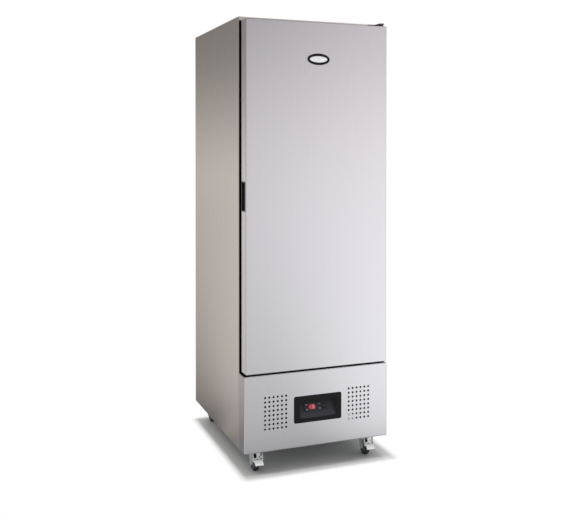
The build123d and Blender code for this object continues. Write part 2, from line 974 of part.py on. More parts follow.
save(evaporator_cover.part, "evaporator_cover")


def finned_coil(x0, x1, y0, y1, z0, z1, fins, rows, tube_radius):
    """Upright fins on tubes that run along X, with end plates and return bends between rows."""
    with BuildPart() as coil:
        for n in range(fins):
            x = x0 + (x1 - x0) * n / (fins - 1)
            block(x - 0.6, x + 0.6, y0, y1, z0, z1)
        depth_step = (y1 - y0) / 2
        row_step = (z1 - z0) / rows
        for column in range(2):
            for row in range(rows):
                y = y0 + depth_step * (column + 0.5)
                z = z0 + row_step * (row + 0.5)
                with Locations(((x0 + x1) / 2, y, z)):
                    Cylinder(tube_radius, x1 - x0 + 2 * coil_stub, rotation=(0, 90, 0))
    return coil.part


coil_stub = 6
coil_tube_radius = 5
coil_back_gap = 12
coil_depth = 60
evaporator_half_width = 185
evaporator_rows = 5
evaporator_fins = 14
evaporator_back_y = liner_back_y - liner_sheet - coil_back_gap
evaporator_bottom_z = cover_bottom_z + 20
evaporator_row = (liner_top_z - liner_sheet - evaporator_bottom_z) / evaporator_rows
save(
    finned_coil(
        -evaporator_half_width,
        evaporator_half_width,
        evaporator_back_y - coil_depth,
        evaporator_back_y,
        evaporator_bottom_z,
        liner_top_z - liner_sheet,
        evaporator_fins,
        evaporator_rows,
        coil_tube_radius,
    ),
    "evaporator_coil",
)


def axial_fan(x, y, z, radius, hub_radius, width, blades, bore):
    """Fan turning about Y: a hub and twisted blades, its front at depth y."""
    with BuildPart() as fan:
        with BuildSketch(upright(y)):
            with Locations((x, z)):
                Circle(hub_radius)
        extrude(amount=-width)
        for n in range(blades):
            with Locations(Location((x, y + width / 2, z), (0, 360 * n / blades, 0))):
                with Locations(
                    Location(((radius + hub_radius) / 2 - 1, 0, 0), (30, 0, 0))
                ):
                    Box(radius - hub_radius + 2, 1.6, width * 1.3)
        with BuildSketch(upright(y + width)):
            with Locations((x, z)):
                Circle(bore)
        extrude(amount=width * 0.7, mode=Mode.SUBTRACT)
    return fan.part


def fan_motor(x, y, z, radius, depth, shaft_radius, shaft_length, arm_reach, arm_width):
    """Motor behind a fan: a can, its shaft to the front and a cross bar that carries it."""
    with BuildPart() as motor:
        with BuildSketch(upright(y)):
            with Locations((x, z)):
                Circle(radius)
        extrude(amount=-depth)
        fillet(motor.faces().sort_by(Axis.Y)[-1].edges(), radius=radius * 0.15)
        with BuildSketch(upright(y)):
            with Locations((x, z)):
                Circle(shaft_radius)
        extrude(amount=shaft_length)
        block(
            x - arm_width / 2,
            x + arm_width / 2,
            y,
            y + 3,
            z - arm_reach,
            z + arm_reach,
        )
    return motor.part


motor_shaft_radius = 3
shaft_clearance = 0.05
evaporator_fan_width = 24
evaporator_fan_y = cover_front_y + 6
evaporator_motor_y = evaporator_fan_y + evaporator_fan_width + 8
save(
    axial_fan(
        evaporator_fan_x,
        evaporator_fan_y,
        evaporator_fan_z,
        evaporator_fan_radius,
        22,
        evaporator_fan_width,
        5,
        motor_shaft_radius + shaft_clearance,
    ),
    "evaporator_fan",
)
save(
    fan_motor(
        evaporator_fan_x,
        evaporator_motor_y,
        evaporator_fan_z,
        30,
        45,
        motor_shaft_radius,
        8 + evaporator_fan_width * 0.6,
        cover_height / 2 - cover_sheet,
        18,
    ),
    "evaporator_fan_motor",
)

# Chassis tray that closes the underside and carries compressor, condenser and castors
tray_half_width = right_x - skin
tray_front_y = cabinet_front_y + fold_radius + skin
tray_back_y = back_y - 2 * skin

with BuildPart() as base_frame:
    block(
        -tray_half_width, tray_half_width, tray_front_y, tray_back_y, base_z, base_z + tray_lip
    )
    offset(amount=-tray_sheet, openings=base_frame.faces().sort_by(Axis.Z)[-1])
    for x in fascia_tab_x:
        block(
            x - fascia_tab_width / 2,
            x + fascia_tab_width / 2,
            fascia_screw_y - fascia_tab_width / 2,
            tray_front_y + tray_sheet,
            base_z + front_sheet,
            base_z + front_sheet + tray_sheet,
        )
        with Locations((x, fascia_screw_y, base_z)):
            Cylinder(screw_radius + 0.1, 4 * tray_sheet, mode=Mode.SUBTRACT)
save(base_frame.part, "base_frame")
tray_top_z = base_z + tray_sheet

# Compressor: a drawn steel shell on a foot plate with rubber grommets
compressor_side_inset = 180
compressor_back_inset = 161
compressor_x = right_x - compressor_side_inset
compressor_y = back_y - compressor_back_inset
compressor_radius = 78
compressor_height = 170
grommet_height = 14
foot_plate = 3
foot_reach = 82
foot_width = 46
compressor_z = tray_top_z + grommet_height

with BuildPart() as compressor:
    with BuildSketch(Plane.XY.offset(compressor_z)):
        with Locations((compressor_x, compressor_y)):
            Rectangle(2 * foot_reach, 2 * foot_width + 40)
            with GridLocations(2 * foot_reach - 24, 2 * foot_width + 16, 2, 2):
                Circle(6, mode=Mode.SUBTRACT)
    extrude(amount=foot_plate)
    with BuildSketch(Plane.XY.offset(compressor_z + foot_plate)):
        with Locations((compressor_x, compressor_y)):
            Ellipse(compressor_radius - 6, compressor_radius - 14)
    extrude(amount=compressor_height)
    shell_top = compressor.faces().sort_by(Axis.Z)[-1].edges()
    fillet(shell_top, radius=28)
    with BuildSketch(Plane.XY.offset(compressor_z + foot_plate + 62)):
        with Locations((compressor_x, compressor_y)):
            Ellipse(compressor_radius, compressor_radius - 8)
    extrude(amount=6)
    block(
        compressor_x + compressor_radius - 16,
        compressor_x + compressor_radius + 22,
        compressor_y - 28,
        compressor_y + 28,
        compressor_z + 50,
        compressor_z + 118,
    )
save(compressor.part, "compressor")

with BuildPart() as compressor_grommets:
    with BuildSketch(Plane.XY.offset(tray_top_z)):
        with Locations((compressor_x, compressor_y)):
            with GridLocations(2 * foot_reach - 24, 2 * foot_width + 16, 2, 2):
                Circle(11)
    extrude(amount=grommet_height)
    with BuildSketch(Plane.XY.offset(compressor_z)):
        with Locations((compressor_x, compressor_y)):
            with GridLocations(2 * foot_reach - 24, 2 * foot_width + 16, 2, 2):
                Circle(5.5)
    extrude(amount=foot_plate + 6)
save(compressor_grommets.part, "compressor_grommets")

# Condenser behind the fascia, with its shroud, fan and motor
condenser_left_inset = 50
condenser_right_inset = 250
condenser_x0 = -right_x + condenser_left_inset
condenser_x1 = right_x - condenser_right_inset
condenser_front_y = cabinet_front_y + 40
condenser_depth = 60
condenser_height = 230
condenser_fins = 14
condenser_rows = 6
condenser_fan_radius = 100
condenser_fan_x = (condenser_x0 + condenser_x1) / 2
condenser_fan_z = tray_top_z + condenser_height / 2
shroud_y = condenser_front_y + condenser_depth
shroud_depth = 22
condenser_fan_width = 26
condenser_fan_y = shroud_y + shroud_depth - 4
condenser_motor_y = condenser_fan_y + condenser_fan_width + 8

save(
    finned_coil(
        condenser_x0,
        condenser_x1,
        condenser_front_y,
        shroud_y,
        tray_top_z,
        tray_top_z + condenser_height,
        condenser_fins,
        condenser_rows,
        coil_tube_radius,
    ),
    "condenser_coil",
)

with BuildPart() as fan_shroud:
    block(
        condenser_x0,
        condenser_x1,
        shroud_y,
        shroud_y + shroud_depth,
        tray_top_z,
        tray_top_z + condenser_height,
    )
    offset(amount=-1.2, openings=fan_shroud.faces().sort_by(Axis.Y)[0])
    with BuildSketch(upright(shroud_y + shroud_depth)):
        with Locations((condenser_fan_x, condenser_fan_z)):
            Circle(condenser_fan_radius + fan_opening_clearance)
    extrude(amount=1.2, mode=Mode.SUBTRACT)
    for side in (-1, 1):
        block(
            condenser_fan_x - 9,
            condenser_fan_x + 9,
            shroud_y + shroud_depth,
            condenser_motor_y + 3,
            condenser_fan_z + side * (condenser_fan_radius + 6),
            condenser_fan_z + side * (condenser_fan_radius + 8),
        )
save(fan_shroud.part, "fan_shroud")

save(
    axial_fan(
        condenser_fan_x,
        condenser_fan_y,
        condenser_fan_z,
        condenser_fan_radius,
        26,
        condenser_fan_width,
        5,
        motor_shaft_radius + shaft_clearance,
    ),
    "condenser_fan",
)
save(
    fan_motor(
        condenser_fan_x,
        condenser_motor_y,
        condenser_fan_z,
        38,
        60,
        motor_shaft_radius,
        8 + condenser_fan_width * 0.6,
        condenser_fan_radius + 6,
        18,
    ),
    "condenser_fan_motor",
)

# Refrigerant pipes: discharge, liquid line with its drier, and suction line up the chase
def pipe(radius, radii, *points):
    """Round pipe along straight runs joined by arcs."""
    with BuildPart() as tube:
        with BuildLine() as route:
            FilletPolyline(*points, radius=radii)
        with BuildSketch(Plane(origin=route.line @ 0, z_dir=route.line % 0)):
            Circle(radius)
        sweep()
    return tube.part


suction_radius = 4
liquid_radius = 3
compressor_top_z = compressor_z + foot_plate + compressor_height
coil_end_x = evaporator_half_width + coil_stub
coil_row_y = evaporator_back_y - coil_depth / 4
entry_y = (evaporator_back_y + liner_back_y - liner_sheet) / 2
suction_z = evaporator_bottom_z + evaporator_row * 3.5
liquid_z = evaporator_bottom_z + evaporator_row * 2.5
condenser_end_x = condenser_x1 + coil_stub
condenser_row_y = condenser_front_y + condenser_depth / 4
condenser_row = condenser_height / condenser_rows
drier_side_inset = 210
drier_x = right_x - drier_side_inset
drier_radius = 10
drier_length = 90
drier_z = tray_top_z + 110

suction_line = pipe(
    suction_radius,
    [16, 16, 10, 9, 9, 5],
    (compressor_x + 25, compressor_y + 15, compressor_top_z),
    (compressor_x + 25, compressor_y + 15, deck_z - 55),
    (chase_x + 15, chase_y, deck_z - 40),
    (chase_x + 15, chase_y, suction_z),
    (chase_x + 15, entry_y, suction_z),
    (coil_end_x + 10, entry_y, suction_z),
    (coil_end_x + 10, coil_row_y, suction_z),
    (coil_end_x, coil_row_y, suction_z),
)
discharge_line = pipe(
    liquid_radius,
    [14, 8],
    (compressor_x - 10, compressor_y - 20, compressor_top_z),
    (compressor_x - 10, compressor_y - 20, deck_z - 60),
    (condenser_end_x + 14, condenser_row_y, tray_top_z + condenser_row * 5.5),
    (condenser_end_x, condenser_row_y, tray_top_z + condenser_row * 5.5),
)
condenser_outlet = pipe(
    liquid_radius,
    [8, 12],
    (condenser_end_x, condenser_row_y, tray_top_z + condenser_row * 0.5),
    (condenser_end_x + 16, condenser_row_y, tray_top_z + condenser_row * 0.5),
    (drier_x, condenser_row_y + 30, tray_top_z + condenser_row * 0.5),
    (drier_x, condenser_row_y + 30, drier_z),
)
liquid_line = pipe(
    liquid_radius,
    [16, 16, 10, 8, 8, 5],
    (drier_x, condenser_row_y + 30, drier_z + drier_length),
    (drier_x, condenser_row_y + 30, deck_z - 30),
    (chase_x - 15, chase_y, deck_z - 20),
    (chase_x - 15, chase_y, liquid_z),
    (chase_x - 15, entry_y, liquid_z),
    (coil_end_x + 10, entry_y, liquid_z),
    (coil_end_x + 10, coil_row_y, liquid_z),
    (coil_end_x, coil_row_y, liquid_z),
)
with BuildPart() as refrigerant_pipes:
    for line in (suction_line, discharge_line, condenser_outlet, liquid_line):
        add(line)
    with Locations((drier_x, condenser_row_y + 30, drier_z + drier_length / 2)):
        Cylinder(drier_radius, drier_length)
save(refrigerant_pipes.part, "refrigerant_pipes")

# Meltwater tray at the back, beside the compressor
meltwater_gap = 48  # to the compressor's foot plate
meltwater_depth = 190
meltwater_height = 50
meltwater_inset = 51  # from the back
meltwater_side_inset = 40
meltwater_wall = 2
meltwater_x = -right_x + meltwater_side_inset
meltwater_right_x = compressor_x - foot_reach - meltwater_gap
meltwater_y = back_y - meltwater_inset

with BuildPart() as evaporation_tray:
    block(
        meltwater_x,
        meltwater_right_x,
        meltwater_y - meltwater_depth,
        meltwater_y,
        tray_top_z,
        tray_top_z + meltwater_height,
    )
    fillet(evaporation_tray.edges().filter_by(Axis.Z), radius=15)
    offset(
        amount=-meltwater_wall, openings=evaporation_tray.faces().sort_by(Axis.Z)[-1]
    )
save(evaporation_tray.part, "evaporation_tray")

# Galvanised junction box close behind the right-hand grille, with one sloped corner
box_gap = 0.5
box_right_x = 157
box_left_x = 104
box_bottom_z = base_z + 34
box_top_z = 202
box_slope = 18
box_depth = 40
box_bracket = 1.5
box_front_y = front_y + front_sheet + box_gap

with BuildPart() as terminal_box:
    with BuildSketch(upright(box_front_y)):
        with BuildLine():
            Polyline(
                (box_left_x, box_bottom_z),
                (box_right_x, box_bottom_z),
                (box_right_x, box_top_z - box_slope),
                (box_right_x - box_slope, box_top_z),
                (box_left_x, box_top_z),
                close=True,
            )
        make_face()
    extrude(amount=-box_depth)
    block(
        box_left_x,
        box_right_x,
        box_front_y + box_depth - box_bracket,
        tray_front_y,
        box_bottom_z,
        box_bottom_z + box_bracket,
    )
    block(
        box_left_x,
        box_right_x,
        tray_front_y - box_bracket,
        tray_front_y,
        base_z + front_sheet + 1,
        box_bottom_z + box_bracket,
    )
save(terminal_box.part, "terminal_box")

# Rear cover of the machine compartment, with rows of slots
inlet_x = 0
inlet_z = base_z + 50
inlet_width = 28
inlet_height = 21
inlet_depth = 24
with BuildPart() as rear_grille:
    block(
        -right_x + skin, right_x - skin, back_y - skin, back_y, base_z, deck_z
    )
    with BuildSketch(upright(back_y)):
        for x in (-150, 150):
            with Locations((x, fascia_centre_z)):
                with GridLocations(1, 22, 1, 9):
                    SlotOverall(200, 8)
        with Locations((inlet_x, inlet_z)):
            Rectangle(inlet_width, inlet_height)
    extrude(amount=skin, mode=Mode.SUBTRACT)
save(rear_grille.part, "rear_grille")

# Mains inlet: a socket with three blades, its flange against the inside of the rear cover
with BuildPart() as mains_inlet:
    with BuildSketch(upright(back_y - skin)):
        with Locations((inlet_x, inlet_z)):
            RectangleRounded(inlet_width + 16, inlet_height + 6, radius=3)
    extrude(amount=2)
    with BuildSketch(upright(back_y)):
        with Locations((inlet_x, inlet_z)):
            Rectangle(inlet_width - 0.2, inlet_height - 0.2)
    extrude(amount=inlet_depth)
    with BuildSketch(upright(back_y)):
        with Locations((inlet_x, inlet_z)):
            Rectangle(inlet_width - 4, inlet_height - 4)
    extrude(amount=inlet_depth - 5, mode=Mode.SUBTRACT)
    with BuildSketch(upright(back_y - inlet_depth + 5)):
        with Locations((inlet_x - 7, inlet_z - 2), (inlet_x, inlet_z + 3), (inlet_x + 7, inlet_z - 2)):
            Rectangle(2, 4)
    extrude(amount=-12)
save(mains_inlet.part, "mains_inlet")

# Screws up through the fascia's lower return into the tray's tabs
with BuildPart() as fascia_screws:
    for x in fascia_tab_x:
        with Locations((x, fascia_screw_y, base_z - screw_head_height / 2)):
            Cylinder(2 * screw_radius, screw_head_height)
        with Locations((x, fascia_screw_y, base_z + 5)):
            Cylinder(screw_radius, 10)
save(fascia_screws.part, "fascia_screws")

# Castors
swivel_gap_z = base_z - castor_plate_thickness - race_height
fork_top_z = swivel_gap_z - race_gap
fork_dish = 5
leg_inner = wheel_width / 2 + wheel_gap
axle_z = wheel_radius
places = {
    "front_left": (-castor_x, castor_front_y, -1),
    "front_right": (castor_x, castor_front_y, -1),
    "rear_left": (-castor_x, castor_back_y, 1),
    "rear_right": (castor_x, castor_back_y, 1),
}

with BuildPart() as castor_plates:
    for x, y, _ in places.values():
        with BuildSketch(Plane.XY.offset(base_z - castor_plate_thickness)):
            with Locations((x, y)):
                RectangleRounded(castor_plate_size, castor_plate_size, radius=5)
        extrude(amount=castor_plate_thickness)
        with BuildSketch(Plane.XY.offset(swivel_gap_z)):
            with Locations((x, y)):
                Circle(race_radius)
        extrude(amount=race_height)
        with BuildSketch(Plane.XY.offset(swivel_gap_z)):
            with Locations((x, y)):
                Circle(kingpin_radius)
        extrude(amount=-(race_gap + fork_dish))
save(castor_plates.part, "castor_plates")


def castor_fork(x, y, trail, braked):
    """Swivel head with two legs down to the axle, and a crown over the wheel if it has a brake."""
    axle_y = y + trail * castor_trail
    with BuildPart() as fork:
        with BuildSketch(Plane.XY.offset(fork_top_z - fork_dish)):
            with Locations((x, y)):
                Circle(race_radius + 1)
                Circle(kingpin_radius + axle_clearance, mode=Mode.SUBTRACT)
        extrude(amount=fork_dish)
        for side in (-1, 1):
            plane_x = x + side * (leg_inner + fork_sheet / 2)
            with BuildSketch(Plane.YZ.offset(plane_x)):
                with BuildLine():
                    Polyline(
                        (y - trail * 13, fork_top_z - 1),
                        (y + trail * 19, fork_top_z - 1),
                        (axle_y + trail * 9, axle_z + 3),
                        (axle_y + trail * 5, axle_z - 8),
                        (axle_y - trail * 7, axle_z - 6),
                        close=True,
                    )
                make_face()
            extrude(amount=fork_sheet / 2, both=True)
        with Locations((x, axle_y, axle_z)):
            Cylinder(axle_radius, 2 * (leg_inner + fork_sheet), rotation=(0, 90, 0))
            for side in (-1, 1):
                with Locations((side * (leg_inner + fork_sheet + 1.5), 0, 0)):
                    Cylinder(6, 3, rotation=(0, 90, 0))
        if braked:
            add(brake_crown(x, y))
    return fork.part


def brake_crown(x, y):
    """Bent plate from the swivel head over the front of the wheel, with an ear at each side."""
    ear_inner = pedal_width / 2 + pedal_side_gap
    pivot = (y - pedal_pivot_reach, pedal_pivot_z)
    with BuildPart() as crown:
        with BuildSketch(Plane.YZ.offset(x - ear_inner - fork_sheet)):
            with BuildLine():
                FilletPolyline(
                    (y - 12, fork_top_z - fork_sheet / 2),
                    (pivot[0] + 12, fork_top_z - fork_sheet / 2),
                    (pivot[0] + 5, pivot[1] + 2),
                    radius=5,
                )
            trace(line_width=fork_sheet)
        extrude(amount=2 * (ear_inner + fork_sheet))
        for side in (-1, 1):
            with BuildSketch(Plane.YZ.offset(x + side * (ear_inner + fork_sheet / 2))):
                with BuildLine():
                    Polyline(
                        (pivot[0] + 14, fork_top_z),
                        (pivot[0] + 8, pivot[1] - 3),
                        (pivot[0] - 3, pivot[1] - 4),
                        (pivot[0] - 4, pivot[1] + 3),
                        (pivot[0] + 4, fork_top_z - 4),
                        close=True,
                    )
                make_face()
            extrude(amount=fork_sheet / 2, both=True)
        with Locations((x, pivot[0], pivot[1])):
            Cylinder(
                pedal_pin_radius + axle_clearance,
                2 * (ear_inner + 2 * fork_sheet),
                rotation=(0, 90, 0),
                mode=Mode.SUBTRACT,
            )
        with BuildSketch(Plane.XZ):
            with Locations((x, pivot[1] + 11)):
                with GridLocations(17, 1, 2, 1):
                    Circle(3.5)
        extrude(amount=400, mode=Mode.SUBTRACT)
    return crown.part


def shoe_point(y, angle):
    """A point on the brake shoe's face, at this angle up round a front wheel."""
    reach = wheel_radius + brake_gap
    axle_y = y - castor_trail
    return (axle_y - reach * cos(radians(angle)), axle_z + reach * sin(radians(angle)))


def brake_pedal(x, y):
    """Pressed plate on a pin between the crown's ears, with a shoe that it pushes at the tread."""
    pivot = (y - pedal_pivot_reach, pedal_pivot_z)
    reach = pedal_length
    with BuildPart() as pedal:
        with BuildSketch(Plane.YZ.offset(x - brake_width / 2)):
            with BuildLine():
                Polyline(
                    (pivot[0] - 4, pivot[1]),
                    (pivot[0] + 2, pivot[1] - 1),
                    shoe_point(y, shoe_high_angle),
                    shoe_point(y, shoe_low_angle),
                    (pivot[0] - 4, pivot[1] - 11),
                    (pivot[0] - 8, pivot[1] - 3),
                    close=True,
                )
            make_face()
        extrude(amount=brake_width)
        with BuildSketch(Plane.YZ.offset(x - pedal_width / 2)):
            with BuildLine():
                FilletPolyline(
                    (pivot[0] + 1, pivot[1]),
                    (pivot[0] - 4, pivot[1]),
                    (
                        pivot[0] - 4 - reach * cos(radians(pedal_drop_angle)),
                        pivot[1] - reach * sin(radians(pedal_drop_angle)),
                    ),
                    radius=3,
                )
            trace(line_width=pedal_sheet)
        extrude(amount=pedal_width)
        with Locations((x, pivot[0], pivot[1])):
            Cylinder(
                pedal_pin_radius,
                2 * (pedal_width / 2 + pedal_side_gap + fork_sheet),
                rotation=(0, 90, 0),
            )
    return pedal.part


def castor_wheel(x, y, trail):
    """Wheel with a crowned tread, dished sides and a bored hub."""
    axle_y = y + trail * castor_trail
    half = wheel_width / 2
    with BuildPart() as wheel:
        with BuildSketch(Plane.XY):
            with BuildLine():
                Polyline(
                    (-half, axle_radius + axle_clearance),
                    (-half, 10),
                    (-half + 4, 12),
                    (-half + 4, 20),
                    (-half + 1, 22),
                    (-half + 1, 26),
                    (-half + 5, 29.4),
                    (0, wheel_radius),
                    (half - 5, 29.4),
                    (half - 1, 26),
                    (half - 1, 22),
                    (half - 4, 20),
                    (half - 4, 12),
                    (half, 10),
                    (half, axle_radius + axle_clearance),
                    close=True,
                )
            make_face()
        revolve(axis=Axis.X)
    return wheel.part.moved(Location((x, axle_y, axle_z)))


for name, (x, y, trail) in places.items():
    braked = name.startswith("front")
    save(castor_fork(x, y, trail, braked), f"castor_fork_{name}")
    save(castor_wheel(x, y, trail), f"castor_wheel_{name}")
    if braked:
        save(brake_pedal(x, y), f"brake_pedal_{name}")
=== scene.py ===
import math

import bmesh
import bpy
from mathutils import Matrix, Vector


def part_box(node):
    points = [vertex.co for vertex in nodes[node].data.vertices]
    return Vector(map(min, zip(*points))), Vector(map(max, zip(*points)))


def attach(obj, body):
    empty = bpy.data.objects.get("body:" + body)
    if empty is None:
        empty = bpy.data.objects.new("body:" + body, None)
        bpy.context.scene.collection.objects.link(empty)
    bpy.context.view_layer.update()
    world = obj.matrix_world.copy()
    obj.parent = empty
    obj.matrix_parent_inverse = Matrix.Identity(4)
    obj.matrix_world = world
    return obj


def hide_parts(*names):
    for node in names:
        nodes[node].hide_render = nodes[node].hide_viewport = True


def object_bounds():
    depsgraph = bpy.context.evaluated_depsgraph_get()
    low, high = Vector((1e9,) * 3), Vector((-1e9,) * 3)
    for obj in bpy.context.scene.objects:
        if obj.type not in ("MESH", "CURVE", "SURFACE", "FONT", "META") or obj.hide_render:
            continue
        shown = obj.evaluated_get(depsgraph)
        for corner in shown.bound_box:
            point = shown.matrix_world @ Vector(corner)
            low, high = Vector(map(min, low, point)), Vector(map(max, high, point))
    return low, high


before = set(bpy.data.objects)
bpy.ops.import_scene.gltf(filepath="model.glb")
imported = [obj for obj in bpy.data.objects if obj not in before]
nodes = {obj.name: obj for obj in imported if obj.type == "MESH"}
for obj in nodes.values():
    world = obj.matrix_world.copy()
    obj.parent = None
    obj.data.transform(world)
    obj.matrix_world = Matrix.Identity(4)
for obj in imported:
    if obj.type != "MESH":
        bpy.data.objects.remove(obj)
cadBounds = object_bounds()
scene = bpy.context.scene
print("frame loaded with", len(nodes), "nodes")


# small helpers
def srgb(hexColour):
    # sRGB hex to the linear colour that the sockets take
    channels = [int(hexColour[i : i + 2], 16) / 255 for i in (1, 3, 5)]
    linear = [c / 12.92 if c <= 0.04045 else ((c + 0.055) / 1.055) ** 2.4 for c in channels]
    return (*linear, 1.0)


def addNode(tree, kind, inputs=(), **settings):
    # inputs go by place or by key; a node given as an input is linked from its first output
    node = tree.nodes.new(kind)
    for name, value in settings.items():
        setattr(node, name, value)
    pairs = inputs.items() if isinstance(inputs, dict) else enumerate(inputs)
    for key, value in pairs:
        if isinstance(value, bpy.types.Node):
            value = value.outputs[0]
        if isinstance(value, bpy.types.NodeSocket):
            tree.links.new(value, node.inputs[key])
        else:
            node.inputs[key].default_value = value
    return node


# camera: 49.5 mm lens, 1.24 m above the floor, turned 20.6 degrees to the right
camera = {
    "place": (-1.2340, -3.1824, 1.2370),
    "turn": -0.35978,
    "tilt": -0.01212,
    "lens": 49.54,
    "shiftX": 0.0247,
    "shiftY": -0.1755,
}
cameraData = bpy.data.cameras.new("camera")
cameraData.lens = camera["lens"]
cameraData.sensor_width = 36
cameraData.shift_x = camera["shiftX"]
cameraData.shift_y = camera["shiftY"]
cameraObject = bpy.data.objects.new("camera", cameraData)
cameraObject.location = camera["place"]
cameraObject.rotation_euler = (math.pi / 2 + camera["tilt"], 0, camera["turn"])
scene.collection.objects.link(cameraObject)
scene.camera = cameraObject
print("camera placed")

# studio: white floor and walls, one broad lamp above, one high up at each side
studio = {
    "white": "#FFFFFF",
    "ambient": 0.85,
    "floorColour": "#C2C2C2",
    "floorHalf": 20,  # metres from the middle to the floor's edge
    "shadowStart": 0.0,  # metres from the object's outline where the floor fades to plain white
    "shadowEnd": 0.04,
    "shadowShift": 0.016,  # metres that it lies to the right, away from the stronger lamp
    "frontWall": 0.92,  # straight in front and straight behind
    "backWall": 0.46,
    "backRange": (-0.6, 0.6),  # sines between which the front wall turns into the back one
    "frontTint": "#FFF6F4",
    "floorTint": "#FCF7F4",
    "backTint": "#FFF6EE",
    # walls at the sides, the right-hand one first: the sines where each starts and is whole, and
    # its brightness
    "sideWalls": [
        (0.25, 0.50, 1.58),
        (-0.25, -0.34, 1.30),
        (-0.40, -0.60, 0.75),
        (0.72, 0.95, 0.80),
    ],
    "ceiling": 0.26,
    "rightCeiling": 0.52,
    "ceilingRange": (-0.01, 0.20),  # as sines of the height
    "backCeiling": 0.29,
    "backCeilingRange": (-0.08, 0.14),
    "zenith": 2.4,  # times as bright as the ceiling's edge
    "zenithRange": (0.45, 0.95),
    "floorShift": 0.15,  # metres that the floor's shading in front lies further left
    "frontFloor": 0.97,  # the floor as polished metal sees it, as a share of the wall over it
    "backFloor": 0.82,
    # this share falls to nothing at the object: painted shadow in the metal's reflection of the
    # floor
    "frontHalf": 0.14,  # metres from the object where that share has come to half
    "backHalf": 0.14,
    "halfRange": (-0.35, 0.35),  # metres from front to back between which the two halves change
    "flankRange": (-0.5, 0.5),  # the same for the object's flank
}
scene.view_settings.view_transform = "Standard"


def wallShade(tree, direction, frontTint):
    # what polished metal sees round the object: brightest at the right, then at the left, dimmer
    # ahead, and dimmest and warmest at the back
    parts = addNode(tree, "ShaderNodeSeparateXYZ", (direction,))
    back = addNode(
        tree, "ShaderNodeMapRange", (parts.outputs["Y"], *studio["backRange"], 0.0, 1.0)
    )
    level = addNode(
        tree, "ShaderNodeMix", {0: back, 2: studio["frontWall"], 3: studio["backWall"]}
    )
    sides = []
    for start, end, brightness in studio["sideWalls"]:
        side = addNode(tree, "ShaderNodeMapRange", (parts.outputs["X"], start, end, 0.0, 1.0))
        level = addNode(tree, "ShaderNodeMix", {0: side, 2: level, 3: brightness})
        sides.append(side)
    colour = addNode(
        tree,
        "ShaderNodeMix",
        {0: back, 6: srgb(frontTint), 7: srgb(studio["backTint"])},
        data_type="RGBA",
    )
    return level, colour.outputs[2], back, sides[0], parts.outputs["Z"]


world = bpy.data.worlds.new("studio walls")
scene.world = world
world.use_nodes = True
tree = world.node_tree
tree.nodes.clear()
rays = addNode(tree, "ShaderNodeLightPath")
direction = addNode(tree, "ShaderNodeTexCoord").outputs["Generated"]
level, wallColour, back, right, height = wallShade(tree, direction, studio["frontTint"])
frontCeiling = addNode(
    tree, "ShaderNodeMix", {0: right, 2: studio["ceiling"], 3: studio["rightCeiling"]}
)
frontFall = addNode(
    tree,
    "ShaderNodeMapRange",
    (height, *studio["ceilingRange"], 1.0, frontCeiling),
    interpolation_type="SMOOTHSTEP",
)
backFall = addNode(
    tree,
    "ShaderNodeMapRange",
    (height, *studio["backCeilingRange"], 1.0, studio["backCeiling"]),
    interpolation_type="SMOOTHSTEP",
)
fall = addNode(tree, "ShaderNodeMix", {0: back, 2: frontFall, 3: backFall})
overhead = addNode(
    tree, "ShaderNodeMapRange", (height, *studio["zenithRange"], 1.0, studio["zenith"])
)
fall = addNode(tree, "ShaderNodeMath", (fall, overhead), operation="MULTIPLY")
wall = addNode(tree, "ShaderNodeMath", (level, fall), operation="MULTIPLY")
mirrored = addNode(tree, "ShaderNodeBackground", {"Color": wallColour, "Strength": wall})
white = srgb(studio["white"])
ambient = addNode(
    tree, "ShaderNodeBackground", {"Color": white, "Strength": studio["ambient"]}
)
plain = addNode(tree, "ShaderNodeBackground", {"Color": white, "Strength": 1.0})
lit = addNode(tree, "ShaderNodeMixShader", (rays.outputs["Is Glossy Ray"], ambient, mirrored))
seen = addNode(
    tree,
    "ShaderNodeMath",
    (rays.outputs["Is Camera Ray"], rays.outputs["Is Transmission Ray"]),
    operation="MAXIMUM",
)
shown = addNode(tree, "ShaderNodeMixShader", (seen, lit, plain))
addNode(tree, "ShaderNodeOutputWorld", {"Surface": shown})

# paper floor: matt light grey near the object, plain white further out so that no edge shows
floorBmesh = bmesh.new()
bmesh.ops.create_grid(floorBmesh, x_segments=1, y_segments=1, size=studio["floorHalf"])
floorMesh = bpy.data.meshes.new("floor")
floorBmesh.to_mesh(floorMesh)
floorBmesh.free()
floor = bpy.data.objects.new("floor", floorMesh)
scene.collection.objects.link(floor)
paper = bpy.data.materials.new("white paper sweep")
paper.use_nodes = True
tree = paper.node_tree
tree.nodes.clear()
place = addNode(tree, "ShaderNodeTexCoord").outputs["Object"]
# distance from the object's outline
moved = addNode(
    tree, "ShaderNodeVectorMath", (place, (studio["shadowShift"], 0.0, 0.0)), operation="SUBTRACT"
)
apart = addNode(tree, "ShaderNodeVectorMath", (moved,), operation="ABSOLUTE")
outline = (cadBounds[1][0], cadBounds[1][1], 0.0)
beyond = addNode(tree, "ShaderNodeVectorMath", (apart, outline), operation="SUBTRACT")
outside = addNode(tree, "ShaderNodeVectorMath", (beyond, (0, 0, 0)), operation="MAXIMUM")
reach = addNode(tree, "ShaderNodeVectorMath", (outside,), operation="LENGTH")
distance = reach.outputs["Value"]
away = addNode(
    tree,
    "ShaderNodeMapRange",
    (distance, studio["shadowStart"], studio["shadowEnd"], 0.0, 1.0),
    interpolation_type="SMOOTHSTEP",
)
rays = addNode(tree, "ShaderNodeLightPath")
seen = rays.outputs["Is Camera Ray"]
for kind in ("Is Glossy Ray", "Is Transmission Ray"):
    seen = addNode(tree, "ShaderNodeMath", (seen, rays.outputs[kind]), operation="MAXIMUM")
share = addNode(tree, "ShaderNodeMath", (away, seen), operation="MULTIPLY")
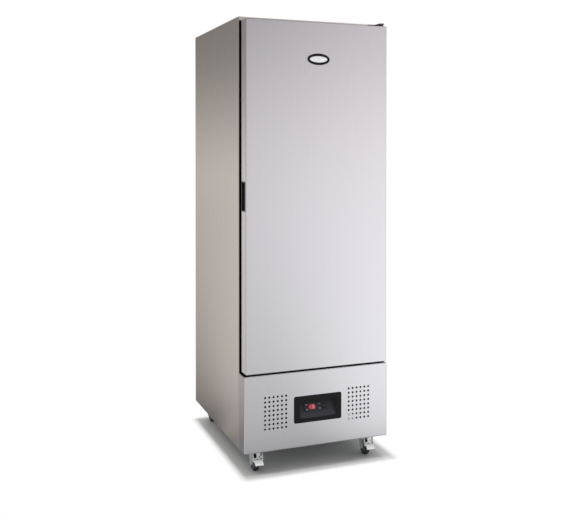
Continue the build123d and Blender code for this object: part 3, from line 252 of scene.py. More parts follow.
# direction from the object to this place on the floor, which picks the wall that it matches
spot = addNode(tree, "ShaderNodeSeparateXYZ", (place,))
alongX, alongY = spot.outputs["X"], spot.outputs["Y"]
halfWay = addNode(
    tree,
    "ShaderNodeMapRange",
    (alongY, *studio["halfRange"], studio["frontHalf"], studio["backHalf"]),
)
# the floor as metal sees it darkens towards the object: painted shadow in its reflections
whole = addNode(tree, "ShaderNodeMath", (distance, halfWay), operation="ADD")
grow = addNode(tree, "ShaderNodeMath", (distance, whole), operation="DIVIDE")
flank = addNode(
    tree, "ShaderNodeMapRange", (alongY, *studio["flankRange"], 0.0, cadBounds[1][0])
)
shift = addNode(
    tree, "ShaderNodeMapRange", (alongY, *studio["flankRange"], studio["floorShift"], 0.0)
)
across = addNode(tree, "ShaderNodeMath", (alongX, shift), operation="ADD")
sideways = addNode(tree, "ShaderNodeMath", (across,), operation="ABSOLUTE")
handed = addNode(tree, "ShaderNodeMath", (across,), operation="SIGN")
for step, other in (
    ("SUBTRACT", flank),
    ("MAXIMUM", 0.0),
    ("MULTIPLY", grow),
    ("MULTIPLY", handed),
):
    sideways = addNode(tree, "ShaderNodeMath", (sideways, other), operation=step)
toward = addNode(tree, "ShaderNodeCombineXYZ", (sideways, alongY))
outward = addNode(tree, "ShaderNodeVectorMath", (toward,), operation="NORMALIZE")
level, floorTint, back, _, _ = wallShade(tree, outward, studio["floorTint"])
ofWall = addNode(
    tree, "ShaderNodeMix", {0: back, 2: studio["frontFloor"], 3: studio["backFloor"]}
)
mirrorLevel = level
for factor in (grow, ofWall):
    mirrorLevel = addNode(tree, "ShaderNodeMath", (mirrorLevel, factor), operation="MULTIPLY")
matt = addNode(tree, "ShaderNodeBsdfDiffuse", {"Color": srgb(studio["floorColour"])})
plain = addNode(tree, "ShaderNodeEmission", {"Color": white, "Strength": 1.0})
mirrored = addNode(tree, "ShaderNodeEmission", {"Color": floorTint, "Strength": mirrorLevel})
glow = addNode(tree, "ShaderNodeMixShader", (rays.outputs["Is Glossy Ray"], plain, mirrored))
blend = addNode(tree, "ShaderNodeMixShader", (share, matt, glow))
addNode(tree, "ShaderNodeOutputMaterial", {"Surface": blend})
floorMesh.materials.append(paper)

# lamps: name, place, what it faces, width, height, power in watts, colour
lamps = [
    ("lamp above", (0.0, -0.3, 3.8), (0, 0, 0), 2.0, 2.0, 105, "#FFFFFF"),
    ("lamp right", (2.2, -1.3, 3.8), (0, 0, 0.9), 1.6, 1.4, 8, "#FFF9FD"),
    ("lamp left", (-2.2, -1.1, 3.8), (0, 0, 0.9), 1.6, 1.4, 36, "#FFF9F2"),
]
for name, lampPlace, target, width, height, power, colour in lamps:
    lampData = bpy.data.lights.new(name, "AREA")
    lampData.shape = "RECTANGLE"
    lampData.size = width
    lampData.size_y = height
    lampData.energy = power
    lampData.color = srgb(colour)[:3]
    lamp = bpy.data.objects.new(name, lampData)
    lamp.location = lampPlace
    lamp.rotation_euler = (Vector(target) - Vector(lampPlace)).to_track_quat("-Z", "Y").to_euler()
    lamp.visible_camera = False
    lamp.visible_glossy = False
    scene.collection.objects.link(lamp)
print("studio lit")


# materials
def startMaterial(name, colour, metallic, roughness):
    # gives the material, its nodes, its shader and the place on the object in metres
    material = bpy.data.materials.new(name)
    material.use_nodes = True
    tree = material.node_tree
    shader = tree.nodes["Principled BSDF"]
    shader.inputs["Base Color"].default_value = srgb(colour)
    shader.inputs["Metallic"].default_value = metallic
    shader.inputs["Roughness"].default_value = roughness
    place = addNode(tree, "ShaderNodeTexCoord").outputs["Object"]
    return material, tree, shader, place


def layFinish(tree, shader, tone, colours, wear=None, relief=None):
    # patterns lead the finish: tone the colour between two, wear the roughness, relief the bump
    darker, lighter = colours
    colour = addNode(
        tree, "ShaderNodeMix", {0: tone, 6: srgb(darker), 7: srgb(lighter)}, data_type="RGBA"
    )
    tree.links.new(colour.outputs[2], shader.inputs["Base Color"])
    if wear:
        pattern, low, high = wear
        rough = addNode(tree, "ShaderNodeMapRange", (pattern, 0.0, 1.0, low, high))
        tree.links.new(rough.outputs[0], shader.inputs["Roughness"])
    if relief:
        pattern, depth = relief
        bump = addNode(tree, "ShaderNodeBump", {"Height": pattern, "Distance": depth})
        tree.links.new(bump.outputs[0], shader.inputs["Normal"])


def brushedSheet(name, along, look, paintedLightZones=()):
    # No. 4 brushed stainless steel: satin sheet, its grain lines run one way and smear reflections
    # real grit lines are 0.1 mm wide, drawn as 1.1 mm ones so that they show
    material, tree, shader, place = startMaterial(name, look["colour"], 1.0, look["roughness"])
    patterns = []
    for width, length, detail in (
        (look["lineWidth"], look["lineLength"], 4.0),
        (look["streakWidth"], look["streakLength"], 2.0),
    ):
        scale = [1 / width] * 3
        scale[along] = 1 / length
        stretch = addNode(tree, "ShaderNodeMapping", {"Vector": place, "Scale": scale})
        noise = addNode(
            tree, "ShaderNodeTexNoise", {"Vector": stretch, "Scale": 1.0, "Detail": detail}
        )
        patterns.append(noise.outputs["Fac"])
    lines, streaks = patterns
    both = addNode(tree, "ShaderNodeMix", {0: look["streakShare"], 2: lines, 3: streaks})
    colour = addNode(
        tree,
        "ShaderNodeMix",
        {0: both, 6: srgb(look["dark"]), 7: srgb(look["light"])},
        data_type="RGBA",
    )
    smoother = look["roughness"] - look["wear"]
    rougher = look["roughness"] + look["wear"]
    rough = addNode(tree, "ShaderNodeMapRange", (both, 0.0, 1.0, smoother, rougher))
    # folds and the narrow faces inside the joints get a colour painted by position, painted shade
    # or a painted sheen, and a roughness of their own
    spot = addNode(tree, "ShaderNodeSeparateXYZ", (place,))
    for axis, low, high, bottom, top, paintedLightColour, zoneRoughness in paintedLightZones:
        inside = 1.0
        for test, limit, side in (
            ("GREATER_THAN", low, axis),
            ("LESS_THAN", high, axis),
            ("GREATER_THAN", bottom, "Z"),
            ("LESS_THAN", top, "Z"),
        ):
            within = addNode(tree, "ShaderNodeMath", (spot.outputs[side], limit), operation=test)
            inside = addNode(tree, "ShaderNodeMath", (inside, within), operation="MULTIPLY")
        colour = addNode(
            tree,
            "ShaderNodeMix",
            {0: inside, 6: colour.outputs[2], 7: srgb(paintedLightColour)},
            data_type="RGBA",
        )
        rough = addNode(tree, "ShaderNodeMix", {0: inside, 2: rough, 3: zoneRoughness})
    tree.links.new(colour.outputs[2], shader.inputs["Base Color"])
    tree.links.new(rough.outputs[0], shader.inputs["Roughness"])
    bump = addNode(tree, "ShaderNodeBump", {"Height": lines, "Distance": look["lineDepth"]})
    tree.links.new(bump.outputs[0], shader.inputs["Normal"])
    return material


stainless = {
    "colour": "#D4D2D1",
    "dark": "#D1CFCE",
    "light": "#D7D5D4",
    "roughness": 0.28,
    "wear": 0.03,
    "lineWidth": 0.0011,
    "lineLength": 0.20,
    "lineDepth": 0.0000015,
    "streakWidth": 0.012,
    "streakLength": 0.9,
    "streakShare": 0.2,
}
frontStainless = stainless | {"colour": "#D0D3D9", "dark": "#CDD0D6", "light": "#D3D6DC"}
# painted light zones: axis, its range, the range of heights, colour, roughness
frontPaintedLightZones = [
    # painted shade in the gap between the fascia's top and the door's underside
    ("Z", 0.3808, 0.3867, 0.0, 2.0, "#8A8C90", 0.07),  # fascia's top and the door's underside
    # painted shade: a dark line along the door's top fold
    ("Z", 1.7178, 1.7194, 0.0, 2.0, "#55565A", 0.20),  # fold along the door's top
    # painted sheen: the door's folded edges lighter than the sheet
    ("X", -0.2940, -0.2922, 0.3867, 1.7178, "#DCDEE5", 0.28),  # door's folded edges
    ("X", 0.2962, 0.2980, 0.3867, 1.7178, "#DCDEE5", 0.28),
    # painted shade: the fascia's folded edges darker than the sheet
    ("X", -0.3010, -0.2992, 0.0, 0.3808, "#BBBDC2", 0.28),  # fascia's folded edges
    ("X", 0.2992, 0.3010, 0.0, 0.3808, "#BBBDC2", 0.28),
]
# cabinet's front flanges: painted shade, black where the door covers them
flangeShadeZones = [("Y", -0.2840, -0.2829, 0.0, 1.7205, "#1C1C1D", 0.07)]

galvanisedLook = {
    "colour": "#B9BEC1",
    "dark": "#B2B7BA",
    "light": "#C1C6C9",
    "metallic": 0.55,
    "roughness": 0.38,
    "smoother": 0.07,
    "rougher": 0.08,
    "crystal": 0.007,
}


def spangledSheet(name, look):
    # hot-dip galvanised steel: zinc crystals of several millimetres, each a slightly other grey,
    # under a thin dull skin of oxide that scatters like paint
    rough = look["roughness"]
    material, tree, shader, place = startMaterial(name, look["colour"], look["metallic"], rough)
    crystals = addNode(
        tree, "ShaderNodeTexVoronoi", {"Vector": place, "Scale": 1 / look["crystal"]}
    )
    shade = addNode(tree, "ShaderNodeSeparateColor", (crystals.outputs["Color"],))
    wear = (shade.outputs[1], rough - look["smoother"], rough + look["rougher"])
    layFinish(tree, shader, shade.outputs[0], (look["dark"], look["light"]), wear)
    return material


zinc = {
    "colour": "#E4E7E9",
    "dark": "#D8DCDF",
    "light": "#ECEFF1",
    "metallic": 0.7,
    "roughness": 0.30,
    "smoother": 0.06,
    "rougher": 0.08,
    "cloud": 0.012,
}
darkZinc = zinc | {"colour": "#5C5E61", "dark": "#525457", "light": "#66686B"}


def platedSteel(name, look):
    # pressed steel with zinc plating, bright or passivated dark: smooth, with faint cloudy marks
    rough = look["roughness"]
    material, tree, shader, place = startMaterial(name, look["colour"], look["metallic"], rough)
    noise = addNode(
        tree,
        "ShaderNodeTexNoise",
        {"Vector": place, "Scale": 1 / look["cloud"], "Detail": 3.0},
    )
    cloud = noise.outputs["Fac"]
    wear = (cloud, rough - look["smoother"], rough + look["rougher"])
    layFinish(tree, shader, cloud, (look["dark"], look["light"]), wear)
    return material


skin = {"wear": 0.06, "cloudsPerMetre": 18.0}  # of moulded and painted surfaces


def grainedPlastic(name, colour, lighter, roughness, grain, depth, metallic=0.0):
    # moulded plastic or paint with a fine grain in its skin and a slight cloudiness in its colour
    material, tree, shader, place = startMaterial(name, colour, metallic, roughness)
    fine = addNode(
        tree, "ShaderNodeTexNoise", {"Vector": place, "Scale": 1 / grain, "Detail": 2.0}
    ).outputs["Fac"]
    cloud = addNode(
        tree, "ShaderNodeTexNoise", {"Vector": place, "Scale": skin["cloudsPerMetre"]}
    ).outputs["Fac"]
    wear = (fine, roughness - skin["wear"], roughness + skin["wear"])
    layFinish(tree, shader, cloud, (colour, lighter), wear, (fine, depth))
    return material


bezelLook = {
    "rim": "#0D0D10",
    # the recess floor's paler colour is painted light on the upward-facing floor
    "floor": "#35363B",
    "roughness": 0.48,
    "rimY": -0.3496,  # the colour changes between these two depths
    "paintedFloorY": -0.3475,
    "grain": 0.0009,
    "grainDepth": 0.00006,
}


def recessPlasticPaintedLight(name, look):
    # black moulding with a spark-eroded grain: dark at its rim; paler inside its recess as painted
    # light, where the leaning floor faces up
    rough = look["roughness"]
    material, tree, shader, place = startMaterial(name, look["rim"], 0.0, rough)
    grain = addNode(
        tree, "ShaderNodeTexNoise", {"Vector": place, "Scale": 1 / look["grain"], "Detail": 2.0}
    ).outputs["Fac"]
    spot = addNode(tree, "ShaderNodeSeparateXYZ", (place,))
    inside = addNode(
        tree, "ShaderNodeMapRange", (spot.outputs["Y"], look["rimY"], look["paintedFloorY"], 0.0, 1.0)
    )
    wear = (grain, rough - skin["wear"], rough + skin["wear"])
    layFinish(
        tree, shader, inside, (look["rim"], look["floor"]), wear, (grain, look["grainDepth"])
    )
    return material


drawnWear = {"smoother": 0.08, "rougher": 0.1}


def turnedMetal(name, colour, lighter, roughness, across, length):
    # drawn copper tube or rolled aluminium: faint lines, soft shine
    material, tree, shader, place = startMaterial(name, colour, 1.0, roughness)
    scale = (1 / across, 1 / across, 1 / length)
    stretch = addNode(tree, "ShaderNodeMapping", {"Vector": place, "Scale": scale})
    lines = addNode(
        tree, "ShaderNodeTexNoise", {"Vector": stretch, "Scale": 1.0, "Detail": 3.0}
    ).outputs["Fac"]
    wear = (lines, roughness - drawnWear["smoother"], roughness + drawnWear["rougher"])
    layFinish(tree, shader, lines, (colour, lighter), wear)
    return material


foamLook = {
    "colour": "#E9D9A6",
    "dark": "#DFCB92",
    "light": "#EFE2B8",
    "roughness": 0.9,
    "cell": 0.003,
    "cellDepth": 0.0006,
}


def foamMaterial(name, look):
    # rigid polyurethane foam: cream, matt, with a skin of small closed cells
    material, tree, shader, place = startMaterial(name, look["colour"], 0.0, look["roughness"])
    cells = addNode(
        tree, "ShaderNodeTexVoronoi", {"Vector": place, "Scale": 1 / look["cell"]}
    ).outputs["Distance"]
    colours = (look["dark"], look["light"])
    layFinish(tree, shader, cells, colours, relief=(cells, look["cellDepth"]))
    return material


glowLook = {"roughness": 0.4, "dot": 0.001, "mottle": "#7A2030"}


def glowMaterial(name, colour, strength):
    # light-emitting digits, and the red plastic in front that spreads their light
    material, tree, shader, place = startMaterial(name, colour, 0.0, glowLook["roughness"])
    shader.inputs["Emission Color"].default_value = srgb(colour)
    shader.inputs["Emission Strength"].default_value = strength
    dots = addNode(
        tree, "ShaderNodeTexNoise", {"Vector": place, "Scale": 1 / glowLook["dot"]}
    ).outputs["Fac"]
    layFinish(tree, shader, dots, (colour, glowLook["mottle"]))
    return material


frontSteel = brushedSheet("brushed stainless front sheet", 2, frontStainless, frontPaintedLightZones)
uprightSteel = brushedSheet("brushed stainless side sheet", 2, stainless, flangeShadeZones)
levelSteel = brushedSheet("brushed stainless top sheet", 1, stainless)
galvanised = spangledSheet("galvanised steel sheet", galvanisedLook)
brightZinc = platedSteel("bright zinc plated steel", zinc)
hingeSteel = platedSteel("dark passivated hinge plate", darkZinc)
# painted sheen: the zinc pedal is drawn near-white and almost non-metallic, standing in for its
# bright reflection
pedalPaintedSheen = grainedPlastic(
    "satin zinc plated pedal", "#FBFBFC", "#FDFDFD", 0.42, 0.002, 0.00001, metallic=0.08
)
liner = grainedPlastic("vacuum formed white ABS", "#E6E8E8", "#EEF0F0", 0.32, 0.002, 0.00001)
blackProfile = grainedPlastic("extruded black PVC", "#0E0E0F", "#161617", 0.42, 0.0015, 0.00001)
blackMoulding = grainedPlastic("moulded black ABS", "#17181A", "#1F2022", 0.42, 0.0008, 0.00004)
bezelMoulding = recessPlasticPaintedLight("spark grained black ABS", bezelLook)
gasketRubber = grainedPlastic("soft black PVC gasket", "#0B0B0C", "#121213", 0.62, 0.001, 0.00002)
controllerFace = grainedPlastic(
    "polished dark controller front", "#2A2B2F", "#303135", 0.30, 0.002, 0.000004
)
keyPlastic = grainedPlastic("matt key plastic", "#4A4B50", "#525358", 0.5, 0.0008, 0.00003)
rockerPlastic = grainedPlastic("polished black nylon", "#050506", "#0A0A0B", 0.40, 0.001, 0.00001)
blackPaint = grainedPlastic("black enamelled steel", "#131314", "#1B1B1C", 0.33, 0.0025, 0.00003)
wirePlastic = grainedPlastic("white coated wire", "#E0E2E2", "#ECEDED", 0.35, 0.003, 0.00002)
nylon = grainedPlastic("natural nylon", "#DAD6C8", "#E4E0D3", 0.42, 0.001, 0.00001)
rubber = grainedPlastic("black rubber", "#151515", "#1E1E1E", 0.75, 0.0008, 0.00004)
trayPlastic = grainedPlastic("black polypropylene", "#1D1E20", "#26272A", 0.5, 0.001, 0.00003)
tyreRubber = grainedPlastic("dark castor tread rubber", "#222326", "#2D2E31", 0.6, 0.001, 0.00005)
hubPlastic = grainedPlastic("grey nylon wheel hub", "#55585C", "#63666A", 0.4, 0.001, 0.00002)
finAluminium = turnedMetal("rolled aluminium fin", "#C9CCCE", "#DADDDF", 0.35, 0.002, 0.05)
copper = turnedMetal("drawn copper tube", "#B87350", "#CC8560", 0.3, 0.003, 0.02)
foam = foamMaterial("poured polyurethane foam", foamLook)
badgeRim = grainedPlastic("gloss black badge rim", "#101114", "#17181B", 0.22, 0.002, 0.000004)
badgeField = grainedPlastic(
    "silvered badge field", "#E4E6EA", "#EFF1F4", 0.30, 0.002, 0.000004, metallic=0.35
)
redFilter = glowMaterial("dark red display filter", "#3A0A12", 0.1)
redHaze = glowMaterial("red filter lit from behind", "#A83C4E", 0.45)
redGlow = glowMaterial("red light emitting digits", "#E07080", 0.9)
# etched or rough black skins return little of the studio
for dull, specular in ((bezelMoulding, 0.22), (badgeRim, 0.15), (controllerFace, 0.3)):
    shader = dull.node_tree.nodes["Principled BSDF"]
    shader.inputs["Specular IOR Level"].default_value = specular
legendInk = grainedPlastic("light grey key print", "#A9ABAE", "#B6B8BB", 0.5, 0.001, 0.000004)

finishes = {
    "left_side_panel": uprightSteel,
    "right_side_panel": uprightSteel,
    "door_outer_panel": frontSteel,
    "fascia": frontSteel,
    "top_panel": levelSteel,
    "top_hinge": hingeSteel,
    "bottom_hinge": hingeSteel,
    "shelf_uprights": uprightSteel,
    "shelf_clips": uprightSteel,
    "compressor_deck": galvanised,
    "back_panel": galvanised,
    "rear_grille": galvanised,
    "base_frame": galvanised,
    "terminal_box": galvanised,
    "cabinet_insulation": foam,
    "door_insulation": foam,
    "inner_liner": liner,
    "door_inner_panel": liner,
    "evaporator_cover": liner,
    "front_frame": blackProfile,
    "door_frame": blackProfile,
    "handle_grip": blackMoulding,
    "controller_bezel": bezelMoulding,
    "evaporator_fan": blackMoulding,
    "condenser_fan": blackMoulding,
    "mains_inlet": blackMoulding,
    "door_gasket": gasketRubber,
    "badge": badgeRim,
    "controller_module": controllerFace,
    "rocker_housing": blackMoulding,
    "rocker_switch": rockerPlastic,
    "compressor": blackPaint,
    "condenser_coil": blackPaint,
    "fan_shroud": blackPaint,
    "condenser_fan_motor": blackPaint,
    "evaporator_coil": finAluminium,
    "evaporator_fan_motor": finAluminium,
    "refrigerant_pipes": copper,
    "hinge_bushes": nylon,
    "compressor_grommets": rubber,
    "evaporation_tray": trayPlastic,
}
for name, node in nodes.items():
    if name.startswith("shelf_") and name[-1].isdigit():
        finish = wirePlastic
    elif name.startswith("controller_button"):
        finish = keyPlastic
    elif name.startswith("castor_wheel"):
        finish = tyreRubber
    elif name.startswith("brake_pedal"):
        finish = pedalPaintedSheen
    else:
        finish = finishes.get(name, brightZinc)
    node.data.materials.clear()
    node.data.materials.append(finish)
print("materials made")


def addPiece(name, shape, materials, body, replaced=(), sharpAngle=35):
    # welds doubled points, marks sharp edges by their angle and hands the piece to its body
    bmesh.ops.remove_doubles(shape, verts=shape.verts, dist=1e-6)
    bmesh.ops.recalc_face_normals(shape, faces=shape.faces)
    for face in shape.faces:
        face.smooth = True
    for edge in shape.edges:
        if len(edge.link_faces) == 2:
            edge.smooth = edge.calc_face_angle(0) < math.radians(sharpAngle)
    mesh = bpy.data.meshes.new(name)
    shape.to_mesh(mesh)
    shape.free()
    for material in materials:
        mesh.materials.append(material)
    piece = bpy.data.objects.new(name, mesh)
    scene.collection.objects.link(piece)
    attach(piece, body)
    if replaced:
        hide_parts(*replaced)


def boxOf(node):
    low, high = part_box(node)
    return Vector(low), Vector(high)


def boxInto(shape, low, high):
    made = bmesh.ops.create_cube(shape, size=1.0)
    low, high = Vector(low), Vector(high)
    bmesh.ops.scale(shape, vec=high - low, verts=made["verts"])
    bmesh.ops.translate(shape, vec=(low + high) / 2, verts=made["verts"])


def roundCorners(shape, radius, segments):
    # rounds the edges of boxes that run from front to back
    bmesh.ops.bevel(
        shape,
        geom=[e for e in shape.edges if abs(e.verts[0].co.y - e.verts[1].co.y) > 1e-5],
        offset=radius,
        segments=segments,
        profile=0.5,
        affect="EDGES",
        material=-1,
    )


# castors; the half profiles run from the bore to the rim: in from the side, out from the axle
castor = {
    "steps": 72,
    "treadHalf": 0.0095,
    "tread": [
        (0.001, 0.0205),
        (0.0, 0.0225),
        (0.0, 0.0250),
        (0.0012, 0.0278),
        (0.0035, 0.0294),
        (0.0095 * 2 / 3, 0.0300),
    ],
    "hubHalf": 0.0105,
    "hub": [
        (0.0, 0.0043),
        (0.0, 0.0085),
        (0.0006, 0.0093),
        (0.0045, 0.0105),
        (0.0045, 0.0165),
        (0.0018, 0.0180),
        (0.0018, 0.0202),
    ],
}


def spunShape(halfProfile, half, centre):
    # mirrors a half profile and spins the closed outline about an axle along X
    left = [(-half + inward, out) for inward, out in halfProfile]
    profile = left + [(-along, out) for along, out in reversed(left)]
    shape = bmesh.new()
    verts = [shape.verts.new(centre + Vector((along, 0, out))) for along, out in profile]
    edges = [shape.edges.new(pair) for pair in zip(verts, verts[1:] + verts[:1])]
    bmesh.ops.spin(
        shape,
        geom=verts + edges,
        cent=centre,
        axis=(1, 0, 0),
        angle=2 * math.pi,
        steps=castor["steps"],
        use_merge=True,
    )
    return shape


for corner in ("front_left", "front_right", "rear_left", "rear_right"):
    low, high = boxOf(f"castor_wheel_{corner}")
    axle = (low + high) / 2
    for part, plastic in (("tread", tyreRubber), ("hub", hubPlastic)):
        addPiece(
            f"wheel_{part}_{corner}",
            spunShape(castor[part], castor[f"{part}Half"], axle),
            [plastic],
            f"wheel_{corner}",
            replaced=[f"castor_wheel_{corner}"],
        )
print("castor wheels spun")

# the front forks' crowns: openings under the swivel head and small holes over the pedal
crownCuts = {
    "front": -0.325,
    "back": -0.3035,
    # left, right, bottom and top, across from the wheel's middle
    "openings": [(-0.0170, -0.0025, 0.0583, 0.0775), (0.0115, 0.0170, 0.0650, 0.0775)],
    "cornerRadius": 0.0014,
    "cornerSegments": 3,
    "holes": [(-0.0135, 0.0540), (0.0, 0.0540), (0.0135, 0.0545)],
    "holeRadius": 0.0027,
    "holeSegments": 20,
    "sharpAngle": 30,
}


def cutBy(mesh, cutter):
    # takes the cutter's solids out of a mesh and gives the rest as a bmesh
    parts = []
    for name, source in (("blank", mesh), ("cutter", cutter)):
        part = bpy.data.objects.new(name, source)
        scene.collection.objects.link(part)
        parts.append(part)
    blank, tool = parts
    modifier = blank.modifiers.new("cut", "BOOLEAN")
    modifier.operation = "DIFFERENCE"
    modifier.solver = "EXACT"
    modifier.object = tool
    graph = bpy.context.evaluated_depsgraph_get()
    rest = bpy.data.meshes.new_from_object(blank.evaluated_get(graph))
    shape = bmesh.new()
    shape.from_mesh(rest)
    for part in parts:
        bpy.data.objects.remove(part)
    for used in (rest, mesh, cutter):
        bpy.data.meshes.remove(used)
    return shape


for corner in ("front_left", "front_right"):
    node = nodes[f"castor_fork_{corner}"]
    shape = bmesh.new()
    shape.from_mesh(node.data)
    bmesh.ops.remove_doubles(shape, verts=shape.verts, dist=1e-6)
    fork = bpy.data.meshes.new("fork blank")
    shape.to_mesh(fork)
    shape.free()
    low, high = boxOf(f"castor_wheel_{corner}")
    middle = (low.x + high.x) / 2
    front, back = crownCuts["front"], crownCuts["back"]
    shape = bmesh.new()
    for left, right, bottom, top in crownCuts["openings"]:
        boxInto(shape, (middle + left, front, bottom), (middle + right, back, top))
    roundCorners(shape, crownCuts["cornerRadius"], crownCuts["cornerSegments"])
    for across, holeZ in crownCuts["holes"]:
        made = bmesh.ops.create_cone(
            shape,
            cap_ends=True,
            segments=crownCuts["holeSegments"],
            radius1=crownCuts["holeRadius"],
            radius2=crownCuts["holeRadius"],
            depth=back - front,
        )
        bmesh.ops.rotate(
            shape, matrix=Matrix.Rotation(math.pi / 2, 3, "X"), verts=made["verts"]
        )
        holePlace = (middle + across, (front + back) / 2, holeZ)
        bmesh.ops.translate(shape, vec=holePlace, verts=made["verts"])
    bmesh.ops.recalc_face_normals(shape, faces=shape.faces)
    cutter = bpy.data.meshes.new("crown cutter")
    shape.to_mesh(cutter)
    shape.free()
    addPiece(
        f"fork_{corner}",
        cutBy(fork, cutter),
        [brightZinc],
        f"swivel_{corner}",
        [f"castor_fork_{corner}"],
        crownCuts["sharpAngle"],
    )
print("fork crowns cut")

# badge: black rim with rounded edges round a slightly domed bare field
badge = {
    "rim": 0.0102,
    "drop": 0.0008,
    "edge": 0.0005,
    "edgeMiddle": 0.3,  # share of the edge that its middle ring is cut by
    "dome": 0.00035,
    "domeRings": (0.92, 0.75, 0.5, 0.25),  # as shares of the field
    "steps": 96,
}


def stackOvals(rings, steps):
    # joins upright ovals, given as half width, half height and depth, and caps both ends
    shape = bmesh.new()
    loops = []
    for halfX, halfZ, y in rings:
        angles = [2 * math.pi * step / steps for step in range(steps)]
        spots = [(halfX * math.cos(a), y, halfZ * math.sin(a)) for a in angles]
        loops.append([shape.verts.new(spot) for spot in spots])
    for near, far in zip(loops, loops[1:]):
        for step in range(steps):
            after = (step + 1) % steps
            shape.faces.new((near[step], near[after], far[after], far[step]))
    shape.faces.new(loops[0])
    shape.faces.new(loops[-1])
    return shape


low, high = boxOf("badge")
halfX, halfZ = (high.x - low.x) / 2, (high.z - low.z) / 2
edge, rim, drop = badge["edge"], badge["rim"], badge["drop"]
cut = edge * badge["edgeMiddle"]
rings = [
    (halfX, halfZ, high.y),
    (halfX, halfZ, low.y + edge),
    (halfX - cut, halfZ - cut, low.y + cut),
    (halfX - edge, halfZ - edge, low.y),
    (halfX - rim + edge, halfZ - rim + edge, low.y),
    (halfX - rim + cut, halfZ - rim + cut, low.y + cut),
    (halfX - rim, halfZ - rim, low.y + drop),
]
for share in badge["domeRings"]:
    domed = low.y + drop - badge["dome"] * (1 - share**2)
    rings.append(((halfX - rim) * share, (halfZ - rim) * share, domed))
shape = stackOvals(rings, badge["steps"])
# faces inside the rim take the field's material, with a little slack for rounding
fieldReach, fieldY = 1.001, low.y + drop + 1e-6
for face in shape.faces:
    inside = all(
        math.hypot(v.co.x / (halfX - rim), v.co.z / (halfZ - rim)) < fieldReach
        for v in face.verts
    )
    face.material_index = 1 if inside and face.calc_center_median().y < fieldY else 0
shift = Vector(((low.x + high.x) / 2, 0, (low.z + high.z) / 2))
bmesh.ops.translate(shape, vec=shift, verts=shape.verts)
addPiece("badge_oval", shape, [badgeRim, badgeField], "door", ["badge"])
print("badge made")

# controller: red filter in the window, glowing digits, prints on the keys, a screw beside it
panel = {
    "place": (0.0, -0.3317, 0.2325),  # middle of the recess's floor
    "lean": 0.029,  # the floor goes back by this much
    "rise": 0.068,  # over this height
    "faceDepth": 0.004,
    "centre": (-0.0143, 0.002),
    "window": (0.030, 0.022),
    "windowOffset": -0.0044,
    "windowDrop": 0.0008,
    "keyOffset": (0.027, 0.009),
    "keyProud": 0.001,
}
display = {
    "inset": 0.0002,
    "filterThickness": 0.0006,
    "cornerRadius": 0.0013,
    "cornerSegments": 4,
    "haze": (0.0125, 0.0095),  # half width and half height of the lit middle
    "hazeSides": 32,
    "hazeGap": 0.00002,
    "digitHeight": 0.0140,
    "digitWidth": 0.0062,
    "digitPitch": 0.0082,
    "strokeWidth": 0.0016,
    "strokeThickness": 0.00006,
    "shown": "-18",
}
filmThickness = 0.00005  # of the lit middle and of the key prints
printGap = 0.00001  # between a key and its print
# key prints by the key's side and level: corners, radius and turn of the print
keyPrints = {
    (-1, 1): (24, 0.0017, 0),
    (-1, -1): (4, 0.0021, 45),
    (1, 1): (3, 0.0022, 0),
    (1, -1): (3, 0.0026, 180),
}
recessScrew = {
    "place": (0.0452, -0.0120),
    "radius": 0.0026,
    "rise": 0.0011,
    "sunk": 0.0002,
    "around": 24,
    "rings": 12,
}
segmentsOn = {"-": "g", "1": "bc", "8": "abcdefg"}
tilt = math.atan(panel["lean"] / panel["rise"])
seat = Matrix.Translation(panel["place"]) @ Matrix.Rotation(-tilt, 4, "X")


def thinFilm(sides, halfX, halfZ, turn, place):
    # a thin oval or polygon that faces the front, set on the leaning floor
    shape = bmesh.new()
    made = bmesh.ops.create_circle(shape, cap_ends=True, segments=sides, radius=1.0)
    bmesh.ops.scale(shape, vec=(halfX, halfZ, 1), verts=made["verts"])
    for angle, axis in ((math.radians(turn), "Z"), (math.pi / 2, "X")):
        bmesh.ops.rotate(shape, matrix=Matrix.Rotation(angle, 3, axis), verts=made["verts"])
    bmesh.ops.translate(shape, vec=place, verts=made["verts"])
    made = bmesh.ops.extrude_face_region(shape, geom=shape.faces[:])
    lifted = [v for v in made["geom"] if isinstance(v, bmesh.types.BMVert)]
    bmesh.ops.translate(shape, vec=(0, -filmThickness, 0), verts=lifted)
    bmesh.ops.transform(shape, matrix=seat, verts=shape.verts)
    return shape


faceY = -panel["faceDepth"]
filterBack = faceY + panel["windowDrop"]
filterFront = filterBack - display["filterThickness"]
centreX, centreZ = panel["centre"]
windowX = centreX + panel["windowOffset"]
halfW = panel["window"][0] / 2 - display["inset"]
halfH = panel["window"][1] / 2 - display["inset"]
shape = bmesh.new()
boxInto(
    shape,
    (windowX - halfW, filterFront, centreZ - halfH),
    (windowX + halfW, filterBack, centreZ + halfH),
)
roundCorners(shape, display["cornerRadius"], display["cornerSegments"])
bmesh.ops.transform(shape, matrix=seat, verts=shape.verts)
addPiece("display_filter", shape, [redFilter], "cabinet")

# the digits' light spreads in the filter as a soft oval
hazeY = filterFront - display["hazeGap"]
shape = thinFilm(display["hazeSides"], *display["haze"], 0, (windowX, hazeY, centreZ))
addPiece("display_haze", shape, [redHaze], "cabinet")

digitBack = hazeY - filmThickness
digitFront = digitBack - display["strokeThickness"]
shape = bmesh.new()
w, h, t = display["digitWidth"], display["digitHeight"], display["strokeWidth"]
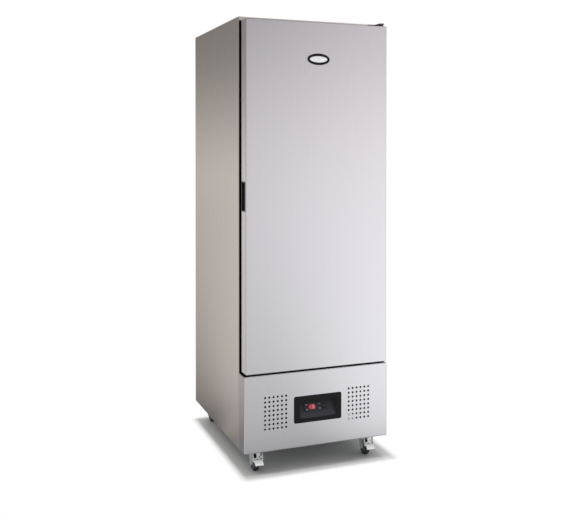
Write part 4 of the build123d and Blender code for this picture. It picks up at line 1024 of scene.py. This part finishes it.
# strokes of a digit: middle across and up, width and height
strokes = {
    "a": (0, h / 2, w - t, t),
    "b": (w / 2, h / 4, t, h / 2 - t),
    "c": (w / 2, -h / 4, t, h / 2 - t),
    "d": (0, -h / 2, w - t, t),
    "e": (-w / 2, -h / 4, t, h / 2 - t),
    "f": (-w / 2, h / 4, t, h / 2 - t),
    "g": (0, 0, w - t, t),
}
for index, sign in enumerate(display["shown"]):
    digitX = windowX + (index - 1) * display["digitPitch"]
    for stroke in segmentsOn[sign]:
        dx, dz, sx, sz = strokes[stroke]
        boxInto(
            shape,
            (digitX + dx - sx / 2, digitFront, centreZ + dz - sz / 2),
            (digitX + dx + sx / 2, digitBack, centreZ + dz + sz / 2),
        )
bmesh.ops.transform(shape, matrix=seat, verts=shape.verts)
addPiece("display_digits", shape, [redGlow], "cabinet")

# a print on each key, and the dark screw beside the rocker
for number in (1, 2, 3, 4):
    low, high = boxOf(f"controller_button_{number}")
    middle = seat.inverted() @ ((low + high) / 2)
    side = 1 if middle.x > centreX else -1
    level = 1 if middle.z > centreZ else -1
    sides, radius, turn = keyPrints[side, level]
    printPlace = (
        centreX + side * panel["keyOffset"][0],
        faceY - panel["keyProud"] - printGap,
        centreZ + level * panel["keyOffset"][1],
    )
    shape = thinFilm(sides, radius, radius, turn, printPlace)
    addPiece(f"key_print_{number}", shape, [legendInk], f"button_{number}")
shape = bmesh.new()
bmesh.ops.create_uvsphere(
    shape,
    u_segments=recessScrew["around"],
    v_segments=recessScrew["rings"],
    radius=recessScrew["radius"],
)
flattened = recessScrew["rise"] / recessScrew["radius"]
bmesh.ops.scale(shape, vec=(1, flattened, 1), verts=shape.verts)
across, up = recessScrew["place"]
bmesh.ops.translate(shape, vec=(across, 0.0, up), verts=shape.verts)
bmesh.ops.bisect_plane(
    shape,
    geom=shape.verts[:] + shape.edges[:] + shape.faces[:],
    plane_co=(0, recessScrew["sunk"], 0),
    plane_no=(0, 1, 0),
    clear_outer=True,
)
bmesh.ops.holes_fill(shape, edges=shape.edges[:])
bmesh.ops.transform(shape, matrix=seat, verts=shape.verts)
addPiece("recess_screw", shape, [rockerPlastic], "cabinet")
print("controller display and prints made")

# fin packs: thin sheets close together on the tubes of both coils
fin = {"thickness": 0.0002, "margin": 0.002}
finPacks = {
    "evaporator_coil": {
        "pitch": 0.0045,
        "half": 0.185,
        "metal": finAluminium,
        "slot": "fin_aluminium",
    },
    "condenser_coil": {
        "pitch": 0.0028,
        "half": 0.150,
        "metal": blackPaint,
        "slot": "black_paint",
    },
}
for nodeName, pack in finPacks.items():
    low, high = boxOf(nodeName)
    middle = (low.x + high.x) / 2
    halfFin, margin = fin["thickness"] / 2, fin["margin"]
    count = int(2 * pack["half"] / pack["pitch"])
    shape = bmesh.new()
    for index in range(count):
        finX = middle - pack["half"] + (index + 0.5) * pack["pitch"]
        boxInto(
            shape,
            (finX - halfFin, low.y + margin, low.z + margin),
            (finX + halfFin, high.y - margin, high.z - margin),
        )
    addPiece(f"{nodeName}_fins", shape, [pack["metal"]], "cabinet")
print("fin packs made")
